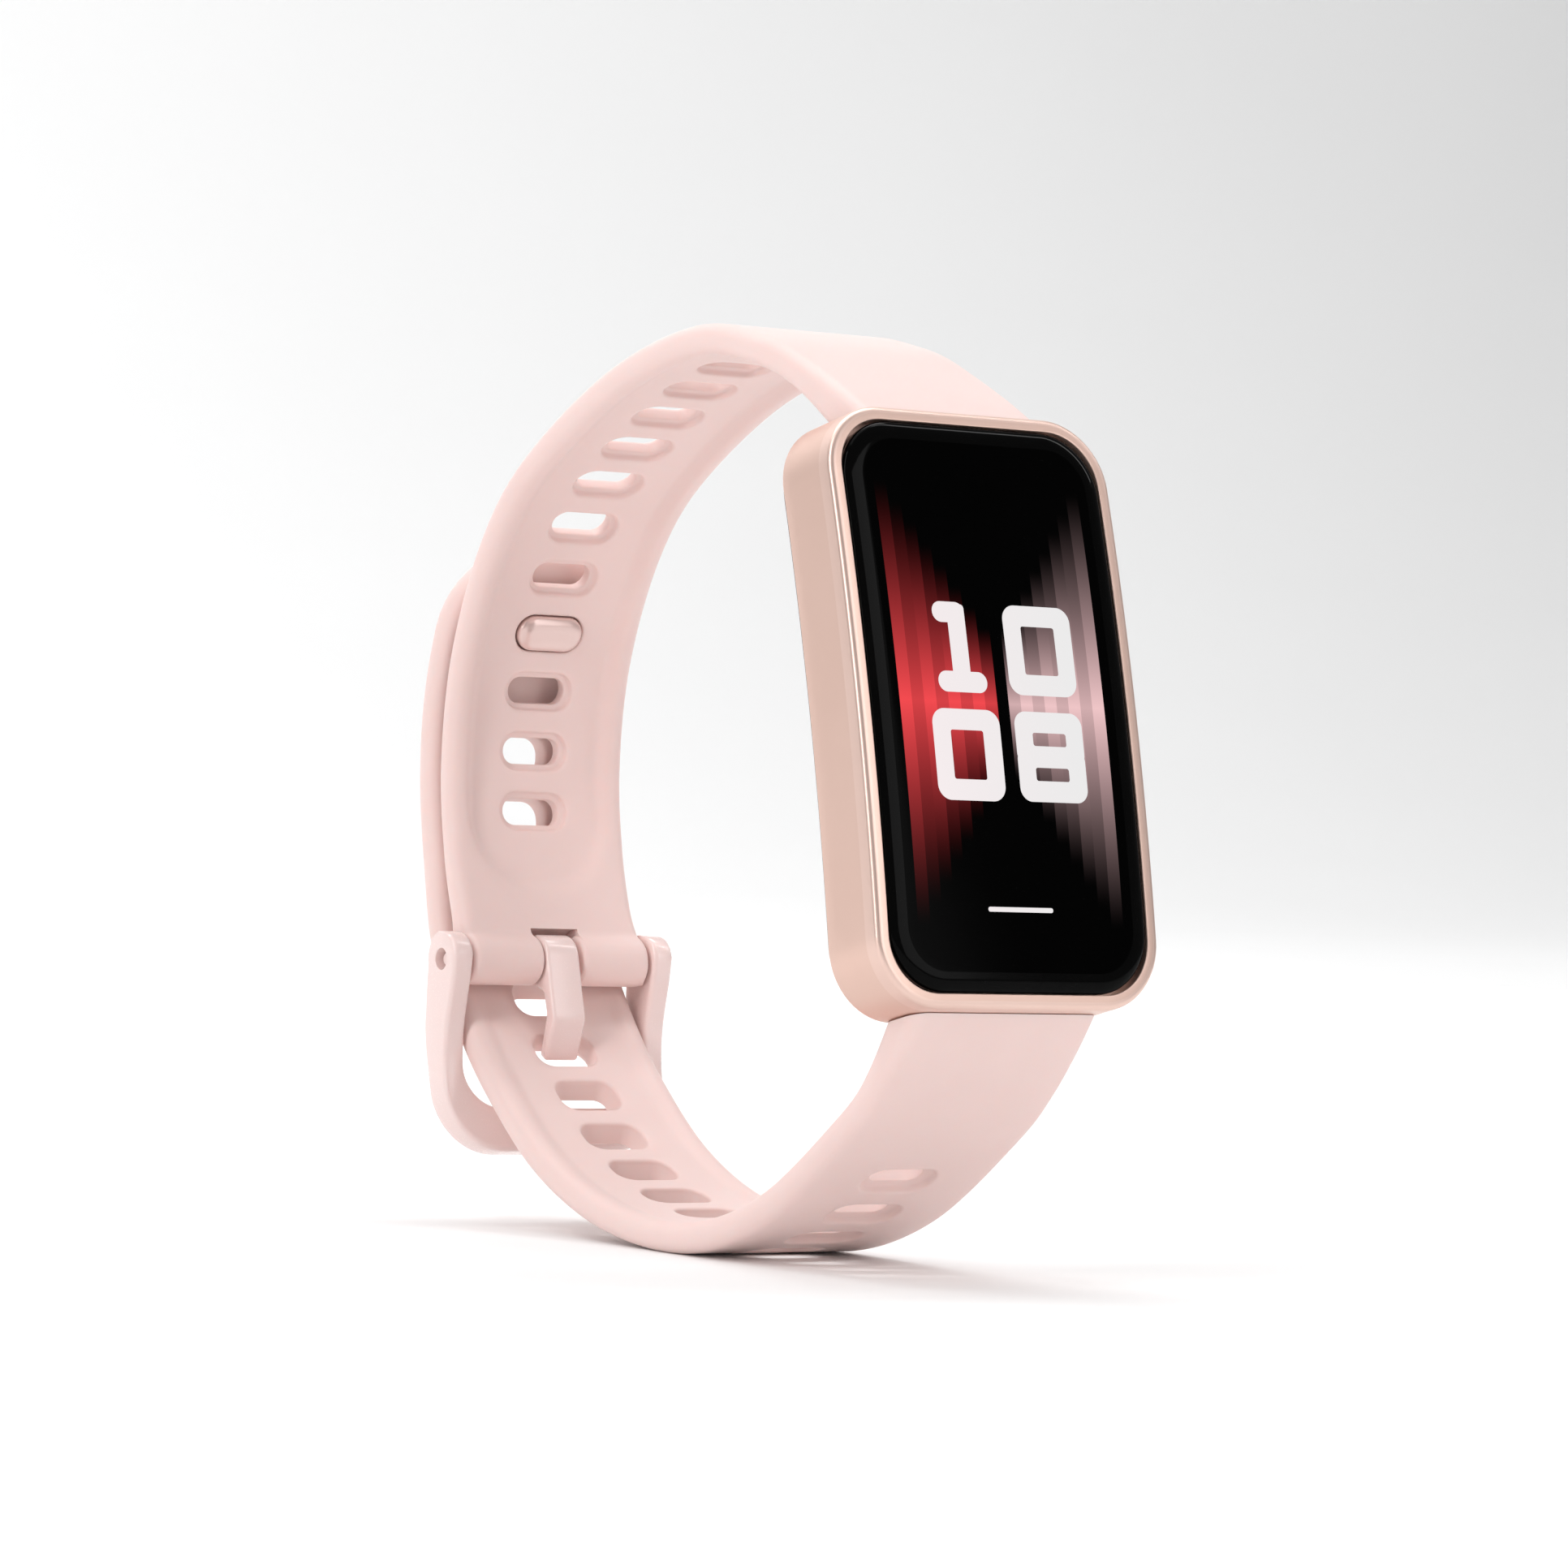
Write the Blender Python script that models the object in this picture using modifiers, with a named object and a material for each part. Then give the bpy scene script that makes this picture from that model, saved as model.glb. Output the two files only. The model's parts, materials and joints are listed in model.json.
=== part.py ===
"""Fitness tracker band: a slim touch-screen case on a two-piece strap, closed with a
tongue buckle and a snap stud.

Everything is modelled in the case's own frame: X across the strap, -Y out of the
screen, +Z towards the top of the screen, with the origin at the middle of the case.
One empty carries that frame. It leans back and stands the closed loop on the floor.
"""
import math

import bmesh
import bpy
import numpy as np
from mathutils import Matrix, Vector

MM = 0.001
GAP = 0.3 * MM                 # clearance between neighbouring pieces
LEAN = math.radians(13.5)      # the case leans back by this much as the loop stands
SMOOTH_ANGLE = math.radians(35)

# Case
CASE_W, CASE_H, CASE_R = 24.4 * MM, 42.9 * MM, 5.0 * MM
CASE_FRONT, CASE_REAR = -4.2 * MM, 1.8 * MM
CASE_WALL, CASE_EDGE = 1.4 * MM, 0.35 * MM
CASE_ARCH = 2.0                # the long faces bow: y = CASE_ARCH * z * z, in 1/m
ARCH_STEP = 4.2 * MM
CORNER_STEPS = 6

# Glass and display, which rest on a ledge inside the case
LEDGE_Y, LEDGE_T = -2.7 * MM, 0.7 * MM
GLASS_W, GLASS_H, GLASS_R = 22.2 * MM, 40.7 * MM, 4.5 * MM
GLASS_T, GLASS_EDGE = 0.9 * MM, 0.8 * MM
PANEL_W, PANEL_H, PANEL_R, PANEL_T = 19.0 * MM, 36.6 * MM, 3.2 * MM, 0.8 * MM
GASKET_INSET = 0.4 * MM

# Back
BACK_DEPTH, BACK_WALL = 2.1 * MM, 0.8 * MM
BACK_INSET, BACK_SHOULDER = 0.6 * MM, 0.9 * MM
BACK_FACE_INSET = 4.0 * MM     # the flat rear face is this much smaller than the case
SEAL_INSET, SEAL_W, SEAL_T = 3.8 * MM, 0.5 * MM, 0.35 * MM
WINDOW_D, WINDOW_RISE, WINDOW_EDGE = 11.4 * MM, 0.4 * MM, 0.25 * MM
CONTACT_D, CONTACT_X, CONTACT_Z = 1.6 * MM, 2.2 * MM, -13.0 * MM
CONTACT_T = 1.1 * MM
SENSOR_BOARD = (10.0 * MM, 0.5 * MM, 11.0 * MM)
SENSOR_BOARD_DROP = 1.0 * MM
CHIP_T, CHIP_GAP = 0.3 * MM, 0.25 * MM
LED_SIZE, PHOTODIODE_SIZE, PHOTODIODE_X = 1.6 * MM, 2.0 * MM, 3.0 * MM

# Inside the case; blocks are (width, depth, height)
TRAY, TRAY_DROP = (18.8 * MM, 0.7 * MM, 33.0 * MM), 0.4 * MM
FLEX_SLOT, FLEX_Z = (9.0 * MM, 4.0 * MM, 1.6 * MM), -14.4 * MM
FLEX, FLEX_TILT = (8.0 * MM, 0.2 * MM, 1.4 * MM), math.radians(60)
BUTTON_RECESS, RECESS_X = (3.6 * MM, 4.0 * MM, 4.6 * MM), 9.8 * MM
PAD = (12.0 * MM, 0.25 * MM, 18.0 * MM)
BATTERY, BATTERY_Z, BATTERY_EDGE = (15.0 * MM, 2.0 * MM, 21.0 * MM), -2.5 * MM, 0.6 * MM
BOARD, BOARD_Z = (19.0 * MM, 0.8 * MM, 9.4 * MM), 13.2 * MM
SHIELD = (11.0 * MM, 1.2 * MM, 6.6 * MM)
SCREW_X, SCREW_R, SCREW_L = 7.6 * MM, 0.6 * MM, 1.8 * MM
SCREW_HEAD_R, SCREW_HEAD_T = 1.1 * MM, 0.5 * MM
MOTOR_R, MOTOR_L, MOTOR_Z = 1.6 * MM, 8.0 * MM, -17.0 * MM

# Side button
BUTTON_Y, BUTTON_Z = -0.4 * MM, 6.5 * MM
BUTTON_L, BUTTON_D, BUTTON_PROUD = 9.0 * MM, 2.2 * MM, 0.45 * MM
BUTTON_SUNK, BUTTON_EDGE, BUTTON_TRAVEL = 0.35 * MM, 0.2 * MM, 0.35 * MM
POCKET_DEPTH = 0.7 * MM
STEM_R, STEM_REACH = 0.6 * MM, 0.8 * MM
SEAL_RING_R, SEAL_RING_T, SEAL_RING_DROP = 1.2 * MM, 0.4 * MM, 0.55 * MM
SWITCH = (0.9 * MM, 1.8 * MM, 3.2 * MM)

# Strap
STRAP_W, STRAP_T, STRAP_END_T, STRAP_EDGE = 16.0 * MM, 2.3 * MM, 3.1 * MM, 1.0 * MM
STRAP_END_S, STRAP_END_L = 2.0 * MM, 9.0 * MM    # the thick end thins over this length
STATION = 2.6 * MM
# The strap's middle surface in side view, (y, z) in millimetres, from the case outward
UPPER_ROUTE = [(-1.8, 19.6), (5.4, 26.1), (10.6, 29.45), (18.2, 32.2), (29.3, 32.1),
               (41.3, 28.85), (48.3, 24.35), (53.9, 17.0), (56.8, 9.0), (57.5, 2.0),
               (57.1, -3.2), (56.5, -6.4)]
LOWER_ROUTE = [(-1.6, -19.4), (4.7, -25.2), (9.9, -28.1), (20.2, -31.8), (30.4, -32.25),
               (40.6, -29.1), (48.7, -23.8), (54.6, -16.9), (58.1, -11.0), (60.4, -5.0),
               (60.6, 1.0), (60.0, 9.0), (57.6, 16.5), (52.1, 25.3)]
SPAN_SAMPLES, CASE_SAMPLES = 40, 80
UPPER_HOLE_W, UPPER_HOLE_L, UPPER_SEAT_W, UPPER_SEAT_L = 4.7 * MM, 2.2 * MM, 6.1 * MM, 3.1 * MM
UPPER_SEAT_DEPTH = 0.8 * MM
UPPER_PITCH, UPPER_HOLES, STUD_HOLE = 4.75 * MM, 11, 7
UPPER_FIRST = 29.9 * MM        # along the route to the first hole
STUD_HOLE_W, STUD_HOLE_L = 6.3 * MM, 3.4 * MM
LOWER_HOLE_W, LOWER_HOLE_L = 5.2 * MM, 3.2 * MM
LOWER_PITCH, LOWER_HOLES = 4.95 * MM, 16
LOWER_FIRST = 18.9 * MM
TAIL_SPLIT_HOLE = 14.5         # the tail bends midway between two of its holes
TAIL_ROUND, TAIL_THINNING, TAIL_SHARPENING = 6.0 * MM, 0.7 * MM, 0.3 * MM

# Joint of each strap to the case: a steel link, and a release button on the wrist side
LINK_W, LINK_T, LINK_L, LINK_OUT = 10.0 * MM, 1.2 * MM, 5.6 * MM, 0.9 * MM
LATCH_W, LATCH_L, LATCH_T, LATCH_OUT = 4.2 * MM, 2.2 * MM, 0.5 * MM, 4.4 * MM
LATCH_PROUD = 0.15 * MM

# Stud that holds the tail down
STUD_HEAD_W, STUD_HEAD_L, STUD_HEAD_T = 5.6 * MM, 2.6 * MM, 1.3 * MM
STUD_NECK_W, STUD_NECK_L, STUD_NECK_SUNK = 4.0 * MM, 1.4 * MM, 0.9 * MM
STUD_PROUD, STUD_REACH, STUD_EDGE = 0.25 * MM, 1.95 * MM, 0.35 * MM

# Buckle; the side views are (y, z) in millimetres
PIN_Y, PIN_Z, PIN_R, PIN_BORE, PIN_SHORT = 56.4 * MM, -6.6 * MM, 0.55 * MM, 0.85 * MM, 0.6 * MM
BARREL_R, NOTCH_W, NOTCH_H, NOTCH_DEPTH = 1.95 * MM, 3.9 * MM, 5.1 * MM, 6.0 * MM
FRAME_IN, FRAME_OUT, FRAME_BOSS_R = 8.25 * MM, 10.05 * MM, 2.15 * MM
FRAME_BAR_Z, FRAME_BAR_H, FRAME_TOP = -21.4 * MM, 3.4 * MM, 1.4 * MM
FRAME_CORNER, FRAME_INNER_CORNER, FRAME_EDGE = 5.0 * MM, 3.4 * MM, 0.3 * MM
FRAME_BACK = [(59.3, -9.4), (59.9, -12.6), (59.75, -16.0), (59.6, -24.0)]
FRAME_FACE = [(57.2, -24.0), (57.2, -16.0), (56.9, -13.2), (55.6, -9.9)]
MASK_NEAR, MASK_FAR, MASK_RISE = 40.0 * MM, 70.0 * MM, 10.0 * MM
TONGUE_W = 3.0 * MM
TONGUE_BLADE = [(55.6, -9.0), (55.35, -11.0), (56.85, -13.95), (56.15, -14.7), (54.2, -11.5)]


def clear_scene():
    for obj in list(bpy.data.objects):
        bpy.data.objects.remove(obj, do_unlink=True)


clear_scene()
parts = bpy.data.collections.new("fitness_tracker_band")
cutters = bpy.data.collections.new("cutters")
bpy.context.scene.collection.children.link(parts)
bpy.context.scene.collection.children.link(cutters)
case_frame = bpy.data.objects.new("case_frame", None)
case_frame.rotation_euler.x = -LEAN
bpy.context.scene.collection.objects.link(case_frame)


# ---------------------------------------------------------------- helpers
def make_material(name, colour, roughness, metallic=0.0):
    mat = bpy.data.materials.new(name)
    mat.use_nodes = True
    shader = mat.node_tree.nodes["Principled BSDF"]
    shader.inputs["Base Color"].default_value = (*colour, 1.0)
    shader.inputs["Roughness"].default_value = roughness
    shader.inputs["Metallic"].default_value = metallic
    return mat


def make_object(name, bm, collection=parts, material=None, pivot=(0, 0, 0)):
    """Turn case-frame geometry into an object whose origin is at pivot."""
    bmesh.ops.recalc_face_normals(bm, faces=bm.faces)
    if bm.calc_volume(signed=True) < 0:
        bmesh.ops.reverse_faces(bm, faces=bm.faces)
    bmesh.ops.translate(bm, verts=bm.verts, vec=-Vector(pivot))
    mesh = bpy.data.meshes.new(name)
    bm.to_mesh(mesh)
    bm.free()
    obj = bpy.data.objects.new(name, mesh)
    obj.location = pivot
    obj.parent = case_frame
    collection.objects.link(obj)
    if material:
        mesh.materials.append(material)
        mesh.shade_smooth()
        mesh.set_sharp_from_angle(angle=SMOOTH_ANGLE)
    return obj


def make_cutter(name, bm):
    obj = make_object(name, bm, cutters)
    obj.hide_render = True
    obj.display_type = "WIRE"
    return obj


def round_edges(obj, width, segments=2, angle=None):
    mod = obj.modifiers.new("edge", "BEVEL")
    mod.width = width
    mod.segments = segments
    if angle:
        mod.limit_method = "ANGLE"
        mod.angle_limit = math.radians(angle)


def cut(obj, cutter, operation="DIFFERENCE"):
    mod = obj.modifiers.new(operation.lower() + "_" + cutter.name, "BOOLEAN")
    mod.operation = operation
    mod.object = cutter


def outline(width, height, radius):
    """A rounded rectangle in X and Z, as points in order."""
    points = []
    for corner in range(4):
        cx = (width / 2 - radius) * (1 if corner in (0, 3) else -1)
        cz = (height / 2 - radius) * (1 if corner < 2 else -1)
        for step in range(CORNER_STEPS + 1):
            angle = math.radians(90 * (corner + step / CORNER_STEPS))
            points.append((cx + radius * math.cos(angle), cz + radius * math.sin(angle)))
    return points


def loft(bm, rings, closed=False):
    """Bridge rings of equal point count, and cap the ends unless the loft closes."""
    loops = [[bm.verts.new(point) for point in ring] for ring in rings]
    pairs = list(zip(loops, loops[1:] + loops[:1])) if closed else list(zip(loops, loops[1:]))
    for one, two in pairs:
        for i in range(len(one)):
            j = (i + 1) % len(one)
            bm.faces.new((one[i], one[j], two[j], two[i]))
    if not closed:
        bm.faces.new(loops[0])
        bm.faces.new(loops[-1])


def case_loft(levels, closed=False, arched=True):
    """Loft rounded rectangles (width, height, radius, y), then bow them with the case."""
    bm = bmesh.new()
    loft(bm, [[(x, y, z) for x, z in outline(w, h, r)] for w, h, r, y in levels], closed)
    if arched:
        steps = int(CASE_H / 2 / ARCH_STEP)
        for k in range(-steps, steps + 1):
            geometry = bm.verts[:] + bm.edges[:] + bm.faces[:]
            bmesh.ops.bisect_plane(bm, geom=geometry, plane_co=(0, 0, k * ARCH_STEP),
                                   plane_no=(0, 0, 1), dist=1e-7)
        for vert in bm.verts:
            vert.co.y += arch(vert.co.z)
    return bm


def arch(z):
    return CASE_ARCH * z * z


def box(size, centre, turn=0.0):
    """A block; turn leans its Z axis from +Z towards +Y."""
    bm = bmesh.new()
    bmesh.ops.create_cube(bm, size=1.0)
    bmesh.ops.scale(bm, verts=bm.verts, vec=size)
    bmesh.ops.transform(bm, verts=bm.verts,
                        matrix=Matrix.Translation(centre) @ Matrix.Rotation(-turn, 4, "X"))
    return bm


def cylinder(radius, length, centre, axis="X", segments=24, radius_end=None):
    bm = bmesh.new()
    end = radius if radius_end is None else radius_end
    bmesh.ops.create_cone(bm, cap_ends=True, segments=segments, radius1=radius,
                          radius2=end, depth=length)
    turn = {"X": Matrix.Rotation(math.radians(90), 4, "Y"),
            "Y": Matrix.Rotation(math.radians(-90), 4, "X"), "Z": Matrix.Identity(4)}[axis]
    bmesh.ops.transform(bm, verts=bm.verts, matrix=Matrix.Translation(centre) @ turn)
    return bm


def add_to(bm, other):
    mesh = bpy.data.meshes.new("joined")
    other.to_mesh(mesh)
    other.free()
    bm.from_mesh(mesh)
    bpy.data.meshes.remove(mesh)


def stadium(length, width, low, high, at=(0, 0), segments=16):
    """A prism with round ends: length along X, width along Y, from low to high in Z."""
    bm = bmesh.new()
    bmesh.ops.create_cone(bm, cap_ends=True, segments=segments, radius1=width / 2,
                          radius2=width / 2, depth=high - low)
    bmesh.ops.rotate(bm, verts=bm.verts, matrix=Matrix.Rotation(math.pi / segments, 3, "Z"))
    for vert in bm.verts:
        vert.co.x += math.copysign((length - width) / 2, vert.co.x) + at[0]
        vert.co.y += at[1]
        vert.co.z += (high + low) / 2
    return bm


# ---------------------------------------------------------------- strap routes
class Route:
    """A smooth side-view curve read by its length; +1 or -1 picks the outward side."""

    def __init__(self, points, side):
        pts = np.array(points) * MM
        pts = np.vstack([2 * pts[0] - pts[1], pts, 2 * pts[-1] - pts[-2]])
        samples = []
        for i in range(1, len(pts) - 2):
            p0, p1, p2, p3 = pts[i - 1:i + 3]
            for t in np.linspace(0, 1, SPAN_SAMPLES, endpoint=False):
                square, cube = 2 * p0 - 5 * p1 + 4 * p2 - p3, 3 * p1 - p0 - 3 * p2 + p3
                samples.append(p1 + ((p2 - p0) * t + square * t ** 2 + cube * t ** 3) / 2)
        samples.append(pts[-2])
        self.points = np.array(samples)
        steps = np.linalg.norm(np.diff(self.points, axis=0), axis=1)
        self.lengths = np.concatenate([[0], np.cumsum(steps)])
        self.length = self.lengths[-1]
        self.side = side

    def at(self, s):
        """The point and the unit tangent and outward normal at length s, in (y, z)."""
        step = 0.2 * MM
        before, point, after = (
            np.array([np.interp(place, self.lengths, self.points[:, k]) for k in (0, 1)])
            for place in (s - step, s, s + step))
        tangent = (after - before) / np.linalg.norm(after - before)
        return point, tangent, self.side * np.array([-tangent[1], tangent[0]])

    def wrap(self, bm):
        """Bend flat geometry (x across, y along, z outward) onto the route."""
        for vert in bm.verts:
            point, _, normal = self.at(vert.co.y)
            y, z = point + normal * vert.co.z
            vert.co = (vert.co.x, y, z)

    def lean(self, s):
        """The lean of the route's tangent from +Z towards +Y."""
        _, tangent, _ = self.at(s)
        return math.atan2(tangent[0], tangent[1])

    def basis(self, s):
        """Takes (x, along, outward) at length s to the case frame."""
        point, tangent, normal = self.at(s)
        return Matrix(((1, 0, 0, 0), (0, tangent[0], normal[0], point[0]),
                       (0, tangent[1], normal[1], point[1]), (0, 0, 0, 1)))


upper_route = Route(UPPER_ROUTE, 1)
lower_route = Route(LOWER_ROUTE, -1)


def strap_section(half_width, thickness, edge):
    """Half-round-edged section, (x, t) points in order."""
    points = []
    for corner in range(4):
        cx = (half_width - edge) * (1 if corner in (0, 3) else -1)
        ct = (thickness / 2 - edge) * (1 if corner < 2 else -1)
        for step in range(3):
            angle = math.radians(90 * corner + 45 * step)
            points.append((cx + edge * math.cos(angle), ct + edge * math.sin(angle)))
    return points


def strap_thickness(s):
    rest = min(1.0, max(0.0, (s - STRAP_END_S) / STRAP_END_L))
    return STRAP_END_T + (STRAP_T - STRAP_END_T) * rest * rest * (3 - 2 * rest)


def flat_strap(start, end, round_end=False):
    """The strap laid flat from start to end of its route."""
    stations = list(np.linspace(start, end, int((end - start) / STATION) + 1))
    if round_end:
        body = [s for s in stations if s < end - TAIL_ROUND - STATION / 2]
        arc = [math.sin(math.radians(a)) for a in (0, 20, 40, 60, 75, 90)]
        stations = body + [end - TAIL_ROUND + TAIL_ROUND * a for a in arc]
    rings = []
    for s in stations:
        half, thick, edge = STRAP_W / 2, strap_thickness(s), STRAP_EDGE
        if round_end:
            reach = max(0.0, (s - end + TAIL_ROUND) / TAIL_ROUND)
            half -= TAIL_ROUND * (1 - math.sqrt(max(0.0, 1 - reach * reach)))
            thick -= TAIL_THINNING * reach ** 3
            edge -= TAIL_SHARPENING * reach ** 3
        rings.append([(x, s, t) for x, t in strap_section(half, thick, edge)])
    bm = bmesh.new()
    loft(bm, rings)
    return bm


def hole_cutter(name, centres, length, width, low, high):
    bm = bmesh.new()
    for s in centres:
        add_to(bm, stadium(length, width, low, high, at=(0, s)))
    return make_cutter(name, bm)


def cut_flat(bm, tools):
    """Cut flat geometry with cutters now, so that it can be bent afterwards."""
    obj = make_object("flat", bm, cutters)
    for tool in tools:
        cut(obj, tool)
    bpy.context.view_layer.update()
    evaluated = obj.evaluated_get(bpy.context.evaluated_depsgraph_get())
    result = bmesh.new()
    result.from_mesh(evaluated.to_mesh())
    for used in [obj, *tools]:
        bpy.data.objects.remove(used, do_unlink=True)
    bmesh.ops.triangulate(result, faces=[face for face in result.faces if len(face.verts) > 4])
    return result


def trim_at_case(bm, level, keep):
    """Cut the bent strap off square, a gap clear of the case's end wall."""
    near = {vert for vert in bm.verts if vert.co.y < STRAP_END_L}
    geometry = list(near)
    geometry += [part for part in bm.edges[:] + bm.faces[:] if near.issuperset(part.verts)]
    bmesh.ops.bisect_plane(bm, geom=geometry, plane_co=(0, 0, level), plane_no=(0, 0, keep),
                           clear_inner=True, dist=1e-7)
    bmesh.ops.holes_fill(bm, edges=[edge for edge in bm.edges if edge.is_boundary])


# ---------------------------------------------------------------- case pieces
def build_mid_frame():
    pocket = (GLASS_W + 2 * GAP, GLASS_H + 2 * GAP, GLASS_R + GAP)
    cavity = (CASE_W - 2 * CASE_WALL, CASE_H - 2 * CASE_WALL, CASE_R - CASE_WALL)
    ledge = (PANEL_W + 2 * GAP, PANEL_H + 4 * GAP, PANEL_R)
    levels = [
        (CASE_W - 2 * CASE_EDGE, CASE_H - 2 * CASE_EDGE, CASE_R - CASE_EDGE, CASE_FRONT),
        (CASE_W, CASE_H, CASE_R, CASE_FRONT + CASE_EDGE),
        (CASE_W, CASE_H, CASE_R, CASE_REAR),
        (*cavity, CASE_REAR),
        (*cavity, LEDGE_Y + LEDGE_T),
        (*ledge, LEDGE_Y + LEDGE_T),
        (*ledge, LEDGE_Y),
        (*pocket, LEDGE_Y),
        (*pocket, CASE_FRONT),
    ]
    shell = make_object("mid_frame", case_loft(levels, closed=True), parts, rose_metal)
    cap_pocket = stadium(BUTTON_L + 2 * GAP, BUTTON_D + 2 * GAP, -POCKET_DEPTH, CASE_WALL)
    stand_against_wall(cap_pocket)
    cut(shell, make_cutter("button_pocket", cap_pocket))
    stem_hole = cylinder(STEM_R + GAP, 4 * CASE_WALL, (CASE_W / 2, BUTTON_Y, BUTTON_Z), segments=12)
    cut(shell, make_cutter("stem_hole", stem_hole))
    for name, route in (("upper", upper_route), ("lower", lower_route)):
        cut(shell, make_cutter(name + "_link_slot", link_block(route, GAP)))


def stand_against_wall(bm):
    """Turn a flat stadium upright at the button's place, its Z out of the right-hand wall."""
    turn = Matrix(((0, 0, 1, CASE_W / 2), (0, -1, 0, BUTTON_Y), (1, 0, 0, BUTTON_Z), (0, 0, 0, 1)))
    bmesh.ops.transform(bm, verts=bm.verts, matrix=turn)


def build_cover_glass():
    back = LEDGE_Y - 3 * GAP
    front = back - GLASS_T
    levels = [
        (GLASS_W - 2 * GLASS_EDGE, GLASS_H - 2 * GLASS_EDGE, GLASS_R - GLASS_EDGE, front),
        (GLASS_W - 0.4 * GLASS_EDGE, GLASS_H - 0.4 * GLASS_EDGE, GLASS_R - 0.2 * GLASS_EDGE,
         front + GLASS_T / 6),
        (GLASS_W, GLASS_H, GLASS_R, front + GLASS_T / 2),
        (GLASS_W, GLASS_H, GLASS_R, back),
    ]
    make_object("cover_glass", case_loft(levels), parts, black_glass)


def build_ring(name, outer, inner, low, high, material):
    levels = [(*outer, low), (*outer, high), (*inner, high), (*inner, low)]
    make_object(name, case_loft(levels, closed=True), parts, material)


def build_display():
    front = LEDGE_Y - 2 * GAP
    panel = (PANEL_W, PANEL_H, PANEL_R)
    bm = case_loft([(*panel, front), (*panel, front + PANEL_T)])
    make_object("display_panel", bm, parts, screen_black)
    outer = (GLASS_W - GASKET_INSET, GLASS_H - GASKET_INSET, GLASS_R - GASKET_INSET / 2)
    inner = (PANEL_W + 3 * GAP, PANEL_H + 5 * GAP, PANEL_R + GASKET_INSET)
    build_ring("glass_gasket", outer, inner, front, front + GAP, seal_grey)


def build_back_cover(front, rear):
    """A shallow dish: flat outside, hollow towards the battery."""
    rim_w, rim_h, rim_r = CASE_W - 3.2 * MM, CASE_H - 3.2 * MM, CASE_R - 1.6 * MM
    levels = [
        (CASE_W - 5.4 * MM, CASE_H - 5.4 * MM, CASE_R - 2.2 * MM, rear - BACK_WALL),
        (rim_w, rim_h, rim_r, front + BACK_INSET),
        (rim_w, rim_h, rim_r, front),
        (CASE_W - BACK_INSET, CASE_H - BACK_INSET, CASE_R - BACK_INSET / 2, front),
        (CASE_W - 1.4 * MM, CASE_H - 1.4 * MM, CASE_R - 0.7 * MM, front + BACK_SHOULDER),
        (CASE_W - BACK_FACE_INSET, CASE_H - BACK_FACE_INSET, CASE_R - 1.6 * MM, rear),
    ]
    cover = make_object("back_cover", case_loft(levels), parts, soft_black)
    hole = cylinder(WINDOW_D / 2 + GAP, 4 * BACK_DEPTH, (0, rear, 0), "Y", 32)
    cut(cover, make_cutter("window_hole", hole))
    contact_y = rear + arch(CONTACT_Z) - BACK_WALL / 2
    for name, x in (("left", -CONTACT_X), ("right", CONTACT_X)):
        hole = cylinder(CONTACT_D / 2 + GAP, 4 * BACK_DEPTH, (x, rear, CONTACT_Z), "Y", 16)
        cut(cover, make_cutter(name + "_contact_hole", hole))
        contact = cylinder(CONTACT_D / 2, CONTACT_T, (x, contact_y, CONTACT_Z), "Y", 16)
        make_object("charging_contact_" + name, contact, parts, gold)


def build_back_seal(front):
    width, height, radius = CASE_W - SEAL_INSET, CASE_H - SEAL_INSET, 2.9 * MM
    inner = (width - 2 * SEAL_W, height - 2 * SEAL_W, radius - SEAL_W)
    build_ring("back_seal", (width, height, radius), inner, front, front + SEAL_T, seal_grey)


def build_sensor(rear):
    window = cylinder(WINDOW_D / 2, BACK_WALL + WINDOW_RISE,
                      (0, rear + (WINDOW_RISE - BACK_WALL) / 2, 0), "Y", 40)
    round_edges(make_object("sensor_window", window, parts, black_glass), WINDOW_EDGE)
    board_y = rear - BACK_WALL - SENSOR_BOARD_DROP
    make_object("sensor_board", box(SENSOR_BOARD, (0, board_y, 0)), parts, board_green)
    chip_y = board_y + SENSOR_BOARD[1] / 2 + CHIP_GAP + CHIP_T / 2
    chips = (("led", 0, LED_SIZE), ("photodiode_left", -PHOTODIODE_X, PHOTODIODE_SIZE),
             ("photodiode_right", PHOTODIODE_X, PHOTODIODE_SIZE))
    for name, x, size in chips:
        make_object("sensor_" + name, box((size, CHIP_T, size), (x, chip_y, 0)), parts, chip_clear)


def build_electronics():
    tray_y = LEDGE_Y + LEDGE_T + TRAY_DROP + TRAY[1] / 2
    tray = make_object("chassis", box(TRAY, (0, tray_y, 0)), parts, soft_black)
    cut(tray, make_cutter("flex_slot", box(FLEX_SLOT, (0, tray_y, FLEX_Z))))
    cut(tray, make_cutter("button_recess", box(BUTTON_RECESS, (RECESS_X, tray_y, BUTTON_Z))))
    make_object("display_flex", box(FLEX, (0, tray_y, FLEX_Z), FLEX_TILT), parts, flex_amber)
    deck = tray_y + TRAY[1] / 2 + GAP
    make_object("battery_pad", box(PAD, (0, deck + PAD[1] / 2, BATTERY_Z)), parts, seal_grey)
    battery_y = deck + PAD[1] + GAP + BATTERY[1] / 2
    battery = make_object("battery", box(BATTERY, (0, battery_y, BATTERY_Z)), parts, battery_foil)
    round_edges(battery, BATTERY_EDGE)
    motor = cylinder(MOTOR_R, MOTOR_L, (0, deck + MOTOR_R + GAP / 3, MOTOR_Z), segments=20)
    make_object("vibration_motor", motor, parts, steel)
    build_main_board(tray, deck)


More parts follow.
